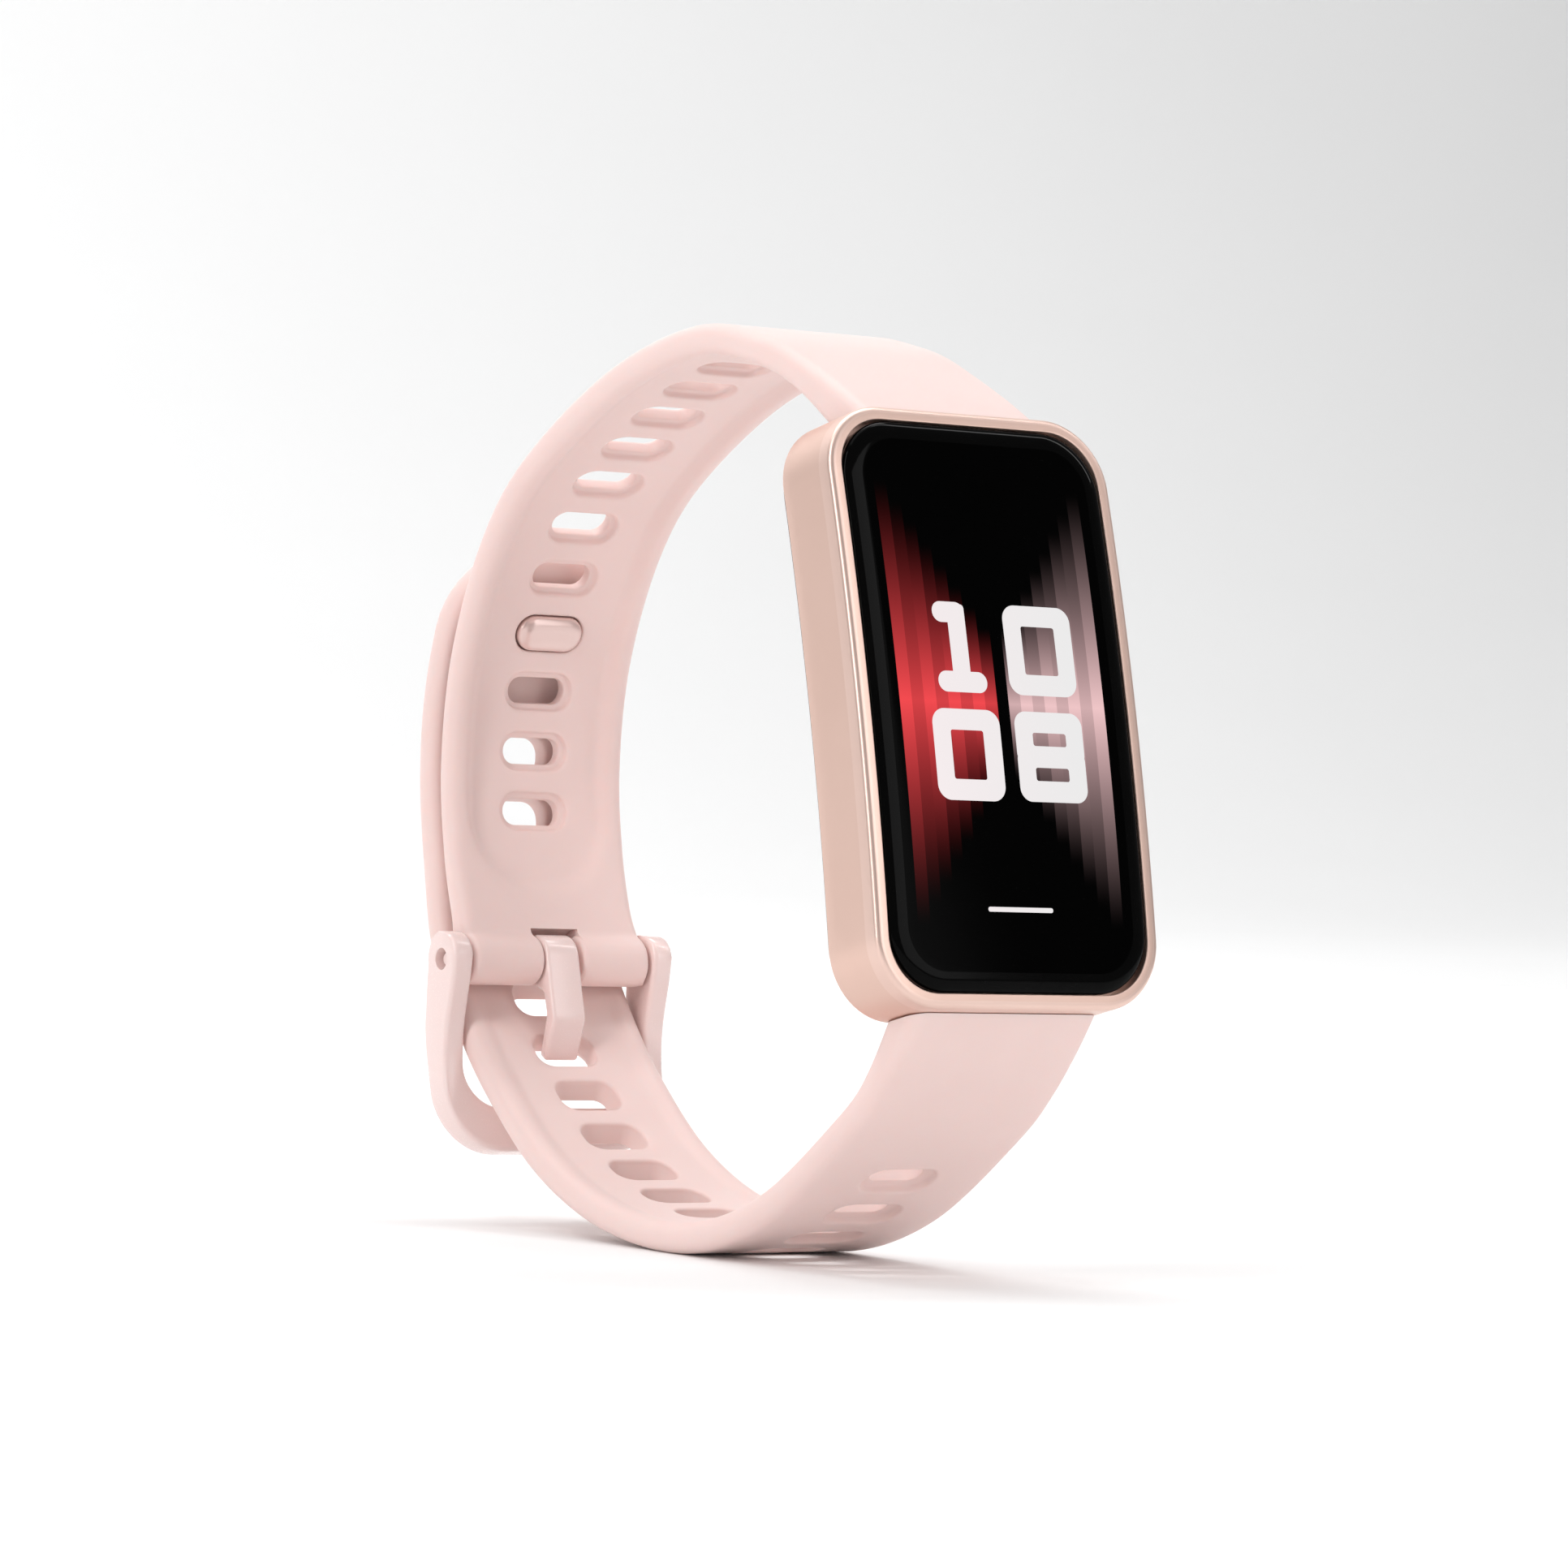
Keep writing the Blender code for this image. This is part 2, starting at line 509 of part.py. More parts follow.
def build_main_board(tray, deck):
    board_y = deck + BOARD[1] / 2
    board = make_object("main_board", box(BOARD, (0, board_y, BOARD_Z)), parts, board_green)
    shield_y = deck + BOARD[1] + GAP + SHIELD[1] / 2
    make_object("board_shield", box(SHIELD, (0, shield_y, BOARD_Z)), parts, steel)
    head_y = deck + BOARD[1] + GAP + SCREW_HEAD_T / 2
    shaft_y = head_y - SCREW_L / 2 - GAP / 2
    for name, x in (("left", -SCREW_X), ("right", SCREW_X)):
        for piece, label, depth in ((board, "_screw_hole", board_y), (tray, "_tray_hole", shaft_y)):
            hole = cylinder(SCREW_R + GAP, 2 * SCREW_L, (x, depth, BOARD_Z), "Y", 12)
            cut(piece, make_cutter(name + label, hole))
        screw = cylinder(SCREW_R, SCREW_L, (x, shaft_y, BOARD_Z), "Y", 12)
        body = make_object("board_screw_" + name, screw, parts, steel)
        head = cylinder(SCREW_HEAD_R, SCREW_HEAD_T, (x, head_y, BOARD_Z), "Y", 12)
        cut(body, make_cutter(name + "_screw_head", head), "UNION")


def build_side_button():
    wall_x = CASE_W / 2
    cap = stadium(BUTTON_L, BUTTON_D, -BUTTON_SUNK, BUTTON_PROUD)
    stand_against_wall(cap)
    body = make_object("side_button", cap, parts, rose_metal)
    round_edges(body, BUTTON_EDGE)
    stem_end = wall_x - CASE_WALL - STEM_REACH
    stem = cylinder(STEM_R, wall_x - stem_end, ((wall_x + stem_end) / 2, BUTTON_Y, BUTTON_Z), segments=12)
    cut(body, make_cutter("button_stem", stem), "UNION")
    seal_at = (wall_x - CASE_WALL - SEAL_RING_DROP, BUTTON_Y, BUTTON_Z)
    ring = make_object("button_seal", cylinder(SEAL_RING_R, SEAL_RING_T, seal_at, segments=16),
                       parts, seal_grey)
    bore = cylinder(STEM_R + GAP / 2, 4 * SEAL_RING_T, seal_at, segments=16)
    cut(ring, make_cutter("seal_bore", bore))
    switch_x = stem_end - BUTTON_TRAVEL - GAP / 3 - SWITCH[0] / 2
    make_object("button_switch", box(SWITCH, (switch_x, BUTTON_Y, BUTTON_Z)), parts, steel)


# ---------------------------------------------------------------- strap pieces
def wall_crossing(route):
    """Length along the route at which it leaves the case's end wall."""
    heights = np.abs(route.points[:CASE_SAMPLES, 1])
    return float(np.interp(CASE_H / 2, heights, route.lengths[:CASE_SAMPLES]))


def link_block(route, grow=0.0):
    """The steel link, half in the case and half in the strap."""
    s = wall_crossing(route) + LINK_OUT
    point, _, _ = route.at(s)
    size = (LINK_W + 2 * grow, LINK_T + 2 * grow, LINK_L + 2 * grow)
    return box(size, (0, *point), route.lean(s))


def latch_prism(route, grow, low, high):
    """A stadium prism along the strap's outward normal, just outside the case wall."""
    bm = stadium(LATCH_W + 2 * grow, LATCH_L + 2 * grow, low, high)
    bmesh.ops.transform(bm, verts=bm.verts, matrix=route.basis(wall_crossing(route) + LATCH_OUT))
    return bm


def build_link_and_latch(name, route, strap):
    cut(strap, make_cutter(name + "_link_pocket", link_block(route, GAP)))
    make_object(name + "_strap_link", link_block(route), parts, steel)
    face = -strap_thickness(wall_crossing(route) + LATCH_OUT) / 2
    pocket = latch_prism(route, GAP, face - STRAP_T, -LINK_T / 2)
    cut(strap, make_cutter(name + "_latch_pocket", pocket))
    low = face - LATCH_PROUD
    make_object(name + "_release_latch", latch_prism(route, 0, low, low + LATCH_T), parts, gloss_pink)


def build_upper_strap():
    holes = [UPPER_FIRST + k * UPPER_PITCH for k in range(UPPER_HOLES)]
    stud_at = holes.pop(STUD_HOLE)
    seat_floor = UPPER_SEAT_DEPTH - STRAP_T / 2
    tools = [
        hole_cutter("upper_holes", holes, UPPER_HOLE_W, UPPER_HOLE_L, -STRAP_T, STRAP_T),
        hole_cutter("upper_seats", holes, UPPER_SEAT_W, UPPER_SEAT_L, -STRAP_T, seat_floor),
        hole_cutter("upper_stud_hole", [stud_at], STUD_HOLE_W, STUD_HOLE_L, -STRAP_T, STRAP_T),
    ]
    bm = cut_flat(flat_strap(0, upper_route.length), tools)
    upper_route.wrap(bm)
    trim_at_case(bm, CASE_H / 2 + GAP, 1)
    strap = make_object("upper_strap", bm, parts, strap_pink)
    barrel = cylinder(BARREL_R, STRAP_W, (0, PIN_Y, PIN_Z), segments=24)
    cut(strap, make_cutter("hinge_barrel", barrel), "UNION")
    notch = box((NOTCH_W, NOTCH_DEPTH, NOTCH_H), (0, PIN_Y, PIN_Z))
    cut(strap, make_cutter("tongue_notch", notch))
    bore = cylinder(PIN_BORE, 2 * STRAP_W, (0, PIN_Y, PIN_Z), segments=16)
    cut(strap, make_cutter("pin_bore", bore))
    build_link_and_latch("upper", upper_route, strap)
    return stud_at


def build_lower_strap():
    """The lower strap, and its tail as a piece of its own that can be peeled off."""
    holes = [LOWER_FIRST + k * LOWER_PITCH for k in range(LOWER_HOLES)]
    split = LOWER_FIRST + TAIL_SPLIT_HOLE * LOWER_PITCH
    near = [s for s in holes if s < split]
    far = [s for s in holes if s > split]
    bm = cut_flat(flat_strap(0, split - GAP / 2),
                  [hole_cutter("lower_holes", near, LOWER_HOLE_W, LOWER_HOLE_L, -STRAP_T, STRAP_T)])
    lower_route.wrap(bm)
    trim_at_case(bm, -CASE_H / 2 - GAP, -1)
    strap = make_object("lower_strap", bm, parts, strap_pink)
    build_link_and_latch("lower", lower_route, strap)

    bm = cut_flat(flat_strap(split + GAP / 2, lower_route.length, round_end=True),
                  [hole_cutter("tail_holes", far, LOWER_HOLE_W, LOWER_HOLE_L, -STRAP_T, STRAP_T)])
    lower_route.wrap(bm)
    point, _, normal = lower_route.at(split)
    hinge = point + normal * STRAP_T / 2
    tail = make_object("tail_section", bm, parts, strap_pink, pivot=(0, *hinge))
    return tail, hinge


def build_stud(stud_at, tail, hinge):
    """The stud stands on the tail and its head fills a hole in the upper strap."""
    basis = upper_route.basis(stud_at)
    low = -STRAP_T / 2 - STUD_PROUD
    base = STRAP_T / 2 + STUD_REACH
    head = stadium(STUD_HEAD_W, STUD_HEAD_L, low, low + STUD_HEAD_T, segments=24)
    neck = stadium(STUD_NECK_W, STUD_NECK_L, low + STUD_NECK_SUNK, base)
    socket = stadium(STUD_NECK_W + 2 * GAP, STUD_NECK_L + 2 * GAP, 0, base + GAP)
    for bm in (head, neck, socket):
        bmesh.ops.transform(bm, verts=bm.verts, matrix=basis)
    stud = make_object("tail_stud", head, parts, gloss_pink, pivot=(0, *hinge))
    round_edges(stud, STUD_EDGE, 3, 60)
    cut(stud, make_cutter("stud_neck", neck), "UNION")
    cut(tail, make_cutter("stud_socket", socket))


# ---------------------------------------------------------------- buckle pieces
def prism(profile, half_width):
    """A side-view outline of (y, z) millimetres, drawn out across X."""
    bm = bmesh.new()
    loft(bm, [[(x, y * MM, z * MM) for y, z in profile] for x in (-half_width, half_width)])
    return bm


def pin_arc(radius, angles):
    """Points round the pin in side view, in millimetres, 0 degrees being +Y."""
    return [((PIN_Y + radius * math.cos(math.radians(angle))) / MM,
             (PIN_Z + radius * math.sin(math.radians(angle))) / MM) for angle in angles]


def frame_outline(name, half_width, low, high, corner):
    """A rounded rectangle in front view, run through the buckle's whole depth."""
    size = (2 * half_width, high - low, corner)
    bm = case_loft([(*size, MASK_NEAR), (*size, MASK_FAR)], arched=False)
    bmesh.ops.translate(bm, verts=bm.verts, vec=(0, 0, (low + high) / 2))
    return make_cutter(name, bm)


def build_buckle_frame():
    """A U: two arms hang from the pin and a bar joins them behind the strap."""
    crown = pin_arc(FRAME_BOSS_R, range(190, -1, -19))
    side = prism(crown + FRAME_BACK + FRAME_FACE, FRAME_OUT)
    frame = make_object("buckle_frame", side, parts, gloss_pink, pivot=(0, PIN_Y, PIN_Z))
    outer = frame_outline("frame_outline", FRAME_OUT, FRAME_BAR_Z, FRAME_TOP, FRAME_CORNER)
    cut(frame, outer, "INTERSECT")
    window = frame_outline("frame_window", FRAME_IN, FRAME_BAR_Z + FRAME_BAR_H,
                           FRAME_TOP + MASK_RISE, FRAME_INNER_CORNER)
    cut(frame, window)
    bore = cylinder(PIN_BORE, 4 * FRAME_OUT, (0, PIN_Y, PIN_Z), segments=16)
    cut(frame, make_cutter("frame_bore", bore))
    round_edges(frame, FRAME_EDGE, 2, 50)


def build_tongue():
    hub = pin_arc(BARREL_R, range(180, -61, -20))
    bm = prism(hub + TONGUE_BLADE, TONGUE_W / 2)
    tongue = make_object("buckle_tongue", bm, parts, gloss_pink, pivot=(0, PIN_Y, PIN_Z))
    bore = cylinder(PIN_BORE, 4 * TONGUE_W, (0, PIN_Y, PIN_Z), segments=16)
    cut(tongue, make_cutter("tongue_bore", bore))


def build_pin():
    pin = cylinder(PIN_R, 2 * (FRAME_OUT - PIN_SHORT), (0, PIN_Y, PIN_Z), segments=16)
    make_object("buckle_pin", pin, parts, steel, pivot=(0, PIN_Y, PIN_Z))


def stand_on_floor():
    """Move the case frame so that the loop stands on the floor, centred over the origin."""
    bpy.context.view_layer.update()
    graph = bpy.context.evaluated_depsgraph_get()
    corners = []
    for obj in parts.objects:
        mesh = obj.evaluated_get(graph).to_mesh()
        corners += [tuple(obj.matrix_world @ vert.co) for vert in mesh.vertices]
    low, high = np.min(corners, axis=0), np.max(corners, axis=0)
    case_frame.location = (-(low[0] + high[0]) / 2, -(low[1] + high[1]) / 2, -low[2])


rose_metal = make_material("rose_metal", (0.80, 0.56, 0.48), 0.34, 0.6)
black_glass = make_material("black_glass", (0.01, 0.01, 0.012), 0.08)
screen_black = make_material("screen_black", (0.02, 0.02, 0.02), 0.3)
soft_black = make_material("soft_black", (0.02, 0.02, 0.022), 0.5)
seal_grey = make_material("seal_grey", (0.12, 0.12, 0.12), 0.7)
board_green = make_material("board_green", (0.02, 0.12, 0.06), 0.5)
battery_foil = make_material("battery_foil", (0.6, 0.6, 0.62), 0.35, 0.8)
steel = make_material("steel", (0.6, 0.6, 0.6), 0.3, 1.0)
gold = make_material("gold", (0.9, 0.65, 0.3), 0.25, 1.0)
chip_clear = make_material("chip_clear", (0.5, 0.6, 0.5), 0.2)
flex_amber = make_material("flex_amber", (0.5, 0.25, 0.06), 0.4)
strap_pink = make_material("strap_pink", (0.84, 0.66, 0.64), 0.5)
gloss_pink = make_material("gloss_pink", (0.85, 0.66, 0.64), 0.25)

back_front = CASE_REAR + GAP
back_rear = back_front + BACK_DEPTH
build_mid_frame()
build_cover_glass()
build_display()
build_back_cover(back_front, back_rear)
build_back_seal(back_front)
build_sensor(back_rear)
build_electronics()
build_side_button()
stud_place = build_upper_strap()
tail_piece, tail_hinge = build_lower_strap()
build_stud(stud_place, tail_piece, tail_hinge)
build_buckle_frame()
build_tongue()
build_pin()
stand_on_floor()
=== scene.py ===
import json
import math
from functools import partial

import bmesh
import bpy
import numpy as np
from mathutils import Matrix, Vector


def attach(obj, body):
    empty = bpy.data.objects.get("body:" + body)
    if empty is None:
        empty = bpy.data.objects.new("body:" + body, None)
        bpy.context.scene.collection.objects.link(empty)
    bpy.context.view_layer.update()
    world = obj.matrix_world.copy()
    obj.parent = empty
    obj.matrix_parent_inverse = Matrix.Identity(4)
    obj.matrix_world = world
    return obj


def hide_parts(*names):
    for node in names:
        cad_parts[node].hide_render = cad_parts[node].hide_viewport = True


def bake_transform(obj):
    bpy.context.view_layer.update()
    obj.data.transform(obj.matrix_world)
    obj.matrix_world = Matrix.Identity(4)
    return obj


# Shapes are made in the case's own frame, as in the CAD: X across the strap, -Y out of the
# screen, +Z towards the top of the screen, origin in the middle of the case. They are then
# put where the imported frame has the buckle's pin.
MM = 0.001
LEAN = math.radians(13.5)
PIN_Y, PIN_Z = 56.4 * MM, -6.6 * MM

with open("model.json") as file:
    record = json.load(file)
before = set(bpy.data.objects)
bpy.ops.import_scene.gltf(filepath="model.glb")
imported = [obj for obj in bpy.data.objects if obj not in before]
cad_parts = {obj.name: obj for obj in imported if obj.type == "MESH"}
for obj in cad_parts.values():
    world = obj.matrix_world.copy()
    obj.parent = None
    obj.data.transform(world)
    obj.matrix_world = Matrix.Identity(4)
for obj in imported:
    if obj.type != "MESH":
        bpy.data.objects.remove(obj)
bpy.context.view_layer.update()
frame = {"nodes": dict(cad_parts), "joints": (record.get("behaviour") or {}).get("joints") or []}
joints = {joint["name"]: joint for joint in frame["joints"]}
pin_at = Vector(joints["frame_swing"]["pos_m"])
CASE = (Matrix.Translation(pin_at) @ Matrix.Rotation(-LEAN, 4, "X")
        @ Matrix.Translation((0, -PIN_Y, -PIN_Z)))

# Case
CASE_W, CASE_H, CASE_R = 24.4 * MM, 42.9 * MM, 5.0 * MM
CASE_ARCH = 2.0                       # the long faces bow: y = CASE_ARCH * z * z, in 1/m
GLASS_W, GLASS_H, GLASS_R = 22.2 * MM, 40.7 * MM, 4.5 * MM
GLASS_FACE = -4.5 * MM
ARC, ACROSS, ALONG = 16, 6, 26        # divisions of a corner, a short side and a long side
BUTTON_Y, BUTTON_Z = -0.4 * MM, 6.5 * MM
BUTTON_L, BUTTON_D = 9.0 * MM, 2.2 * MM
GLASS_RIM_W, GLASS_RIM_DROP, GLASS_RIM_FULLNESS = 1.6, 0.47, 2.6   # millimetres, and an exponent

# Screen: plain bars on both sides of it, the same on each
BARS, BAR_EDGE, BAR_WIDTH = 8, 8.9 * MM, 1.05 * MM
BAR_TALL, BAR_STEP = 16.0 * MM, 1.5 * MM
DIGITS_HALF, DIGIT_STROKE = 7.5 * MM, 1.5 * MM
MARK_IN, MARK_OUT = 0.06 * MM, 0.012 * MM      # how far a lit mark goes into the glass and out of it

# Back
REAR_FACE = 4.2 * MM
WINDOW_R = 5.7 * MM
CONTACT_R, CONTACT_X, CONTACT_Z = 0.8 * MM, 2.2 * MM, -13.0 * MM

# Strap, its routes as (y, z) in millimetres
STRAP_W, STRAP_T, STRAP_END_T, STRAP_EDGE = 16.0 * MM, 2.3 * MM, 3.1 * MM, 1.05 * MM
STRAP_END_S, STRAP_END_L = 2.0 * MM, 9.0 * MM
UPPER_ROUTE = [(-1.8, 19.6), (5.4, 26.1), (10.6, 29.45), (18.2, 32.2), (29.3, 32.1),
               (41.3, 28.85), (48.3, 24.35), (53.9, 17.0), (56.8, 9.0), (57.5, 2.0),
               (57.1, -3.2), (56.4, -6.6), (55.8, -9.2)]
UPPER_PIN_POINT = 11                  # the route's point that lies on the buckle's pin
LOWER_ROUTE = [(-1.6, -19.4), (4.7, -25.2), (9.9, -28.1), (20.2, -31.8), (30.4, -32.25),
               (40.6, -29.1), (48.7, -23.8), (54.6, -16.9), (58.1, -11.0), (60.4, -5.0),
               (60.6, 1.0), (60.0, 9.0), (57.6, 16.5), (52.1, 25.3)]
UPPER_FIRST, UPPER_PITCH, UPPER_HOLES, STUD_HOLE = 29.9 * MM, 4.75 * MM, 11, 7
LOWER_FIRST, LOWER_PITCH, LOWER_HOLES = 18.9 * MM, 4.95 * MM, 16
TAIL_SPLIT_HOLE, TONGUE_HOLE, FIRST_TAIL_HOLE, TAIL_DRIFT = 14.5, 10, 13, 0.95 * MM
TAIL_ROUND, TAIL_NOSE = 7.0 * MM, 0.9 * MM
CHANNEL_HALF, CHANNEL_SOFT = 6.1 * MM, 1.3 * MM
UPPER_CHANNEL, LOWER_CHANNEL = 0.75 * MM, 0.22 * MM
UPPER_CHANNEL_ENDS, LOWER_CHANNEL_ENDS = (9.0 * MM, 83.8 * MM), (9.0 * MM, 108.0 * MM)
COLUMN_HALF, COLUMNS, CELL_ROWS = 4.2 * MM, 24, 10
ROW_STEP, CUT_SLACK = 0.7 * MM, 1e-7
LATCH_OUT, LATCH_L, LATCH_W = 4.4 * MM, 4.2 * MM, 2.2 * MM

# Buckle
BARREL_R = 1.95 * MM
NOTCH_HALF, NOTCH_R, NOTCH_FLARE, NOTCH_X = 1.8 * MM, 2.5 * MM, 0.35 * MM, 0.1 * MM
FRAME_IN, FRAME_OUT, BOSS_R = 8.25 * MM, 10.05 * MM, 2.15 * MM
BAR_LOW, BAR_HIGH, BAR_CORNER, BAR_INNER_CORNER = -21.4 * MM, -18.0 * MM, 5.0 * MM, 3.4 * MM
FRAME_EDGE = 0.42 * MM
TONGUE_W, TONGUE_EDGE = 3.0 * MM, 0.32 * MM
PIN_R, PIN_HALF = 0.56 * MM, 9.55 * MM


# ---- mesh helpers
def mesh_of(name, bm):
    mesh = bpy.data.meshes.new(name)
    bm.to_mesh(mesh)
    bm.free()
    return mesh


def put_in_scene(name, data):
    obj = bpy.data.objects.new(name, data)
    bpy.context.scene.collection.objects.link(obj)
    return obj


def close_up(bm):
    """Turn every face outward."""
    bmesh.ops.recalc_face_normals(bm, faces=bm.faces)
    if bm.calc_volume(signed=True) < 0:
        bmesh.ops.reverse_faces(bm, faces=bm.faces)


def add_piece(name, bm, materials, body="case", replaced=(), sharp=38):
    """Put a case-frame mesh in the scene as a piece that rides on a body."""
    close_up(bm)
    bmesh.ops.transform(bm, verts=bm.verts, matrix=CASE)
    mesh = mesh_of(name, bm)
    for mat in materials:
        mesh.materials.append(mat)
    mesh.shade_smooth()
    mesh.set_sharp_from_angle(angle=math.radians(sharp))
    obj = put_in_scene(name, mesh)
    if replaced:
        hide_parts(*replaced)
    if body:
        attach(obj, body)
    return obj


def loose_object(bm, slots):
    """A short-lived object for a modifier to work on."""
    close_up(bm)
    mesh = mesh_of("loose", bm)
    for _ in range(slots):
        mesh.materials.append(None)
    return put_in_scene("loose", mesh)


def carve(bm, tools, operation="DIFFERENCE", slots=1):
    """The mesh with the tools cut away from it, or joined to it."""
    obj = loose_object(bm, slots)
    cutters = [loose_object(tool, 1) for tool in tools]
    for cutter in cutters:
        mod = obj.modifiers.new("carve", "BOOLEAN")
        mod.operation = operation
        mod.object = cutter
    bpy.context.view_layer.update()
    result = bmesh.new()
    result.from_mesh(obj.evaluated_get(bpy.context.evaluated_depsgraph_get()).to_mesh())
    for used in [obj, *cutters]:
        bpy.data.objects.remove(used, do_unlink=True)
    return result


def join_loops(bm, loops, slots=None):
    """Quads between loops of equal point count; slots gives each band's material."""
    for band, (one, two) in enumerate(zip(loops, loops[1:])):
        for i in range(len(one)):
            j = (i + 1) % len(one)
            face = bm.faces.new((one[i], one[j], two[j], two[i]))
            face.material_index = slots[band] if slots else 0


def skin(bm, rings, closed=False, slots=None):
    """Join rings of equal point count; closed joins the last one to the first."""
    loops = [[bm.verts.new(point) for point in ring] for ring in rings]
    join_loops(bm, loops + loops[:1] if closed else loops, slots)
    return loops


def cap_ends(bm, loops):
    bm.faces.new(loops[0])
    bm.faces.new(loops[-1])


def outline(width, height, radius, inset=0.0):
    """A rounded rectangle in (x, z), drawn in by inset, its points in order."""
    radius = max(radius - inset, 0.05 * MM)
    half_w, half_h = width / 2 - inset - radius, height / 2 - inset - radius
    corners = [(1, 1), (-1, 1), (-1, -1), (1, -1)]
    points = []
    for k, (sx, sz) in enumerate(corners):
        for step in range(ARC + 1):
            angle = math.radians(90 * (k + step / ARC))
            points.append((sx * half_w + radius * math.cos(angle),
                           sz * half_h + radius * math.sin(angle)))
        ex, ez = corners[(k + 1) % 4]
        start = points[-1]
        end = (ex * half_w + radius * math.cos(angle), ez * half_h + radius * math.sin(angle))
        count = ALONG if k % 2 else ACROSS
        for step in range(1, count):
            points.append(tuple(a + (b - a) * step / count for a, b in zip(start, end)))
    return points


def cap_across(bm, loop, slot=0):
    """Close an outline loop with strips from its left side to its right side."""
    one = ARC + ACROSS
    two = one + ARC + ALONG
    three = two + ARC + ACROSS
    right = loop[three:] + loop[:ARC + 1]
    left = loop[two + ARC:one - 1:-1]
    faces = [bm.faces.new(loop[two + ARC:three + 2] + [left[1]])]
    faces += [bm.faces.new((left[i], right[i], right[i + 1], left[i + 1]))
              for i in range(1, len(left) - 2)]
    faces.append(bm.faces.new([right[-2]] + loop[ARC:one + 1] + [left[-2]]))
    for face in faces:
        face.material_index = slot


def bow(bm):
    """Bend a piece of the case to the arch of its long faces."""
    for vert in bm.verts:
        vert.co.y += CASE_ARCH * vert.co.z ** 2


def case_rings(levels, size):
    """Rings of a rounded rectangle at (inset, y) levels given in millimetres."""
    return [[(x, y * MM, z) for x, z in outline(*size, inset * MM)] for inset, y in levels]


def sines(*angles):
    return [math.sin(math.radians(angle)) for angle in angles]


def arc(cx, cy, radius, start, end, steps):
    """Points of an arc between two angles in degrees."""
    angles = [math.radians(start + (end - start) * k / steps) for k in range(steps + 1)]
    return [(cx + radius * math.cos(a), cy + radius * math.sin(a)) for a in angles]


def stadium(length, width, height, divisions=14):
    """A ring with round ends, length along X and width along Y, at one height."""
    ends = arc(length / 2 - width / 2, 0, width / 2, -90, 90, divisions)
    ends += arc(width / 2 - length / 2, 0, width / 2, 90, 270, divisions)
    return [(x, y, height) for x, y in ends]


def grown(length, width, steps):
    """Stadium levels in millimetres from a size and steps of (growth, height)."""
    return [(length / MM + growth, width / MM + growth, height) for growth, height in steps]


def stadium_body(levels, basis):
    """A body of stadium rings (length, width, height) in millimetres, closed at both ends."""
    bm = bmesh.new()
    cap_ends(bm, skin(bm, [stadium(l * MM, w * MM, h * MM) for l, w, h in levels]))
    bmesh.ops.transform(bm, verts=bm.verts, matrix=basis)
    return bm


def lathe(profile, basis, segments=64):
    """Turn (radius, height) millimetres about Z; a radius of 0 at an end closes it."""
    bm = bmesh.new()
    turns = [2 * math.pi * k / segments for k in range(segments)]
    rings = [[(r * MM * math.cos(a), r * MM * math.sin(a), h * MM) for a in turns]
             for r, h in profile if r > 0]
    loops = skin(bm, rings)
    for (radius, height), loop in ((profile[0], loops[0]), (profile[-1], loops[-1])):
        tip = bm.verts.new((0, 0, height * MM))
        for i in range(segments):
            bm.faces.new((loop[i], loop[(i + 1) % segments], tip))
    bmesh.ops.transform(bm, verts=bm.verts, matrix=basis)
    return bm


def recess(radius, rim, bottom, low, high, top):
    """A lathe profile that cuts a round recess, widened to its rim between low and high."""
    return [(0, bottom), (radius, bottom), (radius, low), (rim, high), (rim, top), (0, top)]


def facing_back(x, y, z):
    """A lathe's Z turned to the case's +Y, at a point."""
    return Matrix.Translation((x, y, z)) @ Matrix.Rotation(math.radians(-90), 4, "X")


def facing_right(x, y, z):
    """A lathe's Z turned to the case's +X, at a point."""
    return Matrix.Translation((x, y, z)) @ Matrix.Rotation(math.radians(90), 4, "Y")


# ---- materials
def nodes_of(name):
    mat = bpy.data.materials.new(name)
    mat.use_nodes = True
    tree = mat.node_tree
    return mat, tree, tree.nodes["Principled BSDF"]


def fill(node, values):
    for socket, value in values.items():
        node.inputs[socket].default_value = value


def coordinates(tree, scale=(1, 1, 1), turned=False):
    """Object coordinates, or the case's own when turned, scaled on each axis."""
    source = tree.nodes.new("ShaderNodeTexCoord").outputs["Object"]
    mapping = tree.nodes.new("ShaderNodeMapping")
    back = CASE.inverted()
    fill(mapping, {"Location": back.translation, "Rotation": back.to_euler()} if turned
         else {"Scale": scale})
    tree.links.new(source, mapping.inputs["Vector"])
    return mapping.outputs["Vector"]


def noise(tree, place, scale, detail=3.0, roughness=0.55):
    node = tree.nodes.new("ShaderNodeTexNoise")
    fill(node, {"Scale": scale, "Detail": detail, "Roughness": roughness})
    tree.links.new(place, node.inputs["Vector"])
    return node.outputs["Fac"]


def spread(tree, value, low, high, start=0.3, end=0.7):
    """Map start..end, by default a noise's middle range, to low..high."""
    node = tree.nodes.new("ShaderNodeMapRange")
    fill(node, {"From Min": start, "From Max": end, "To Min": low, "To Max": high})
    tree.links.new(value, node.inputs["Value"])
    return node.outputs["Result"]


def mixed(tree, factor, one, two):
    node = tree.nodes.new("ShaderNodeMix")
    node.data_type = "RGBA"
    fill(node, {"A": (*one, 1), "B": (*two, 1)})
    tree.links.new(factor, node.inputs["Factor"])
    return node.outputs["Result"]


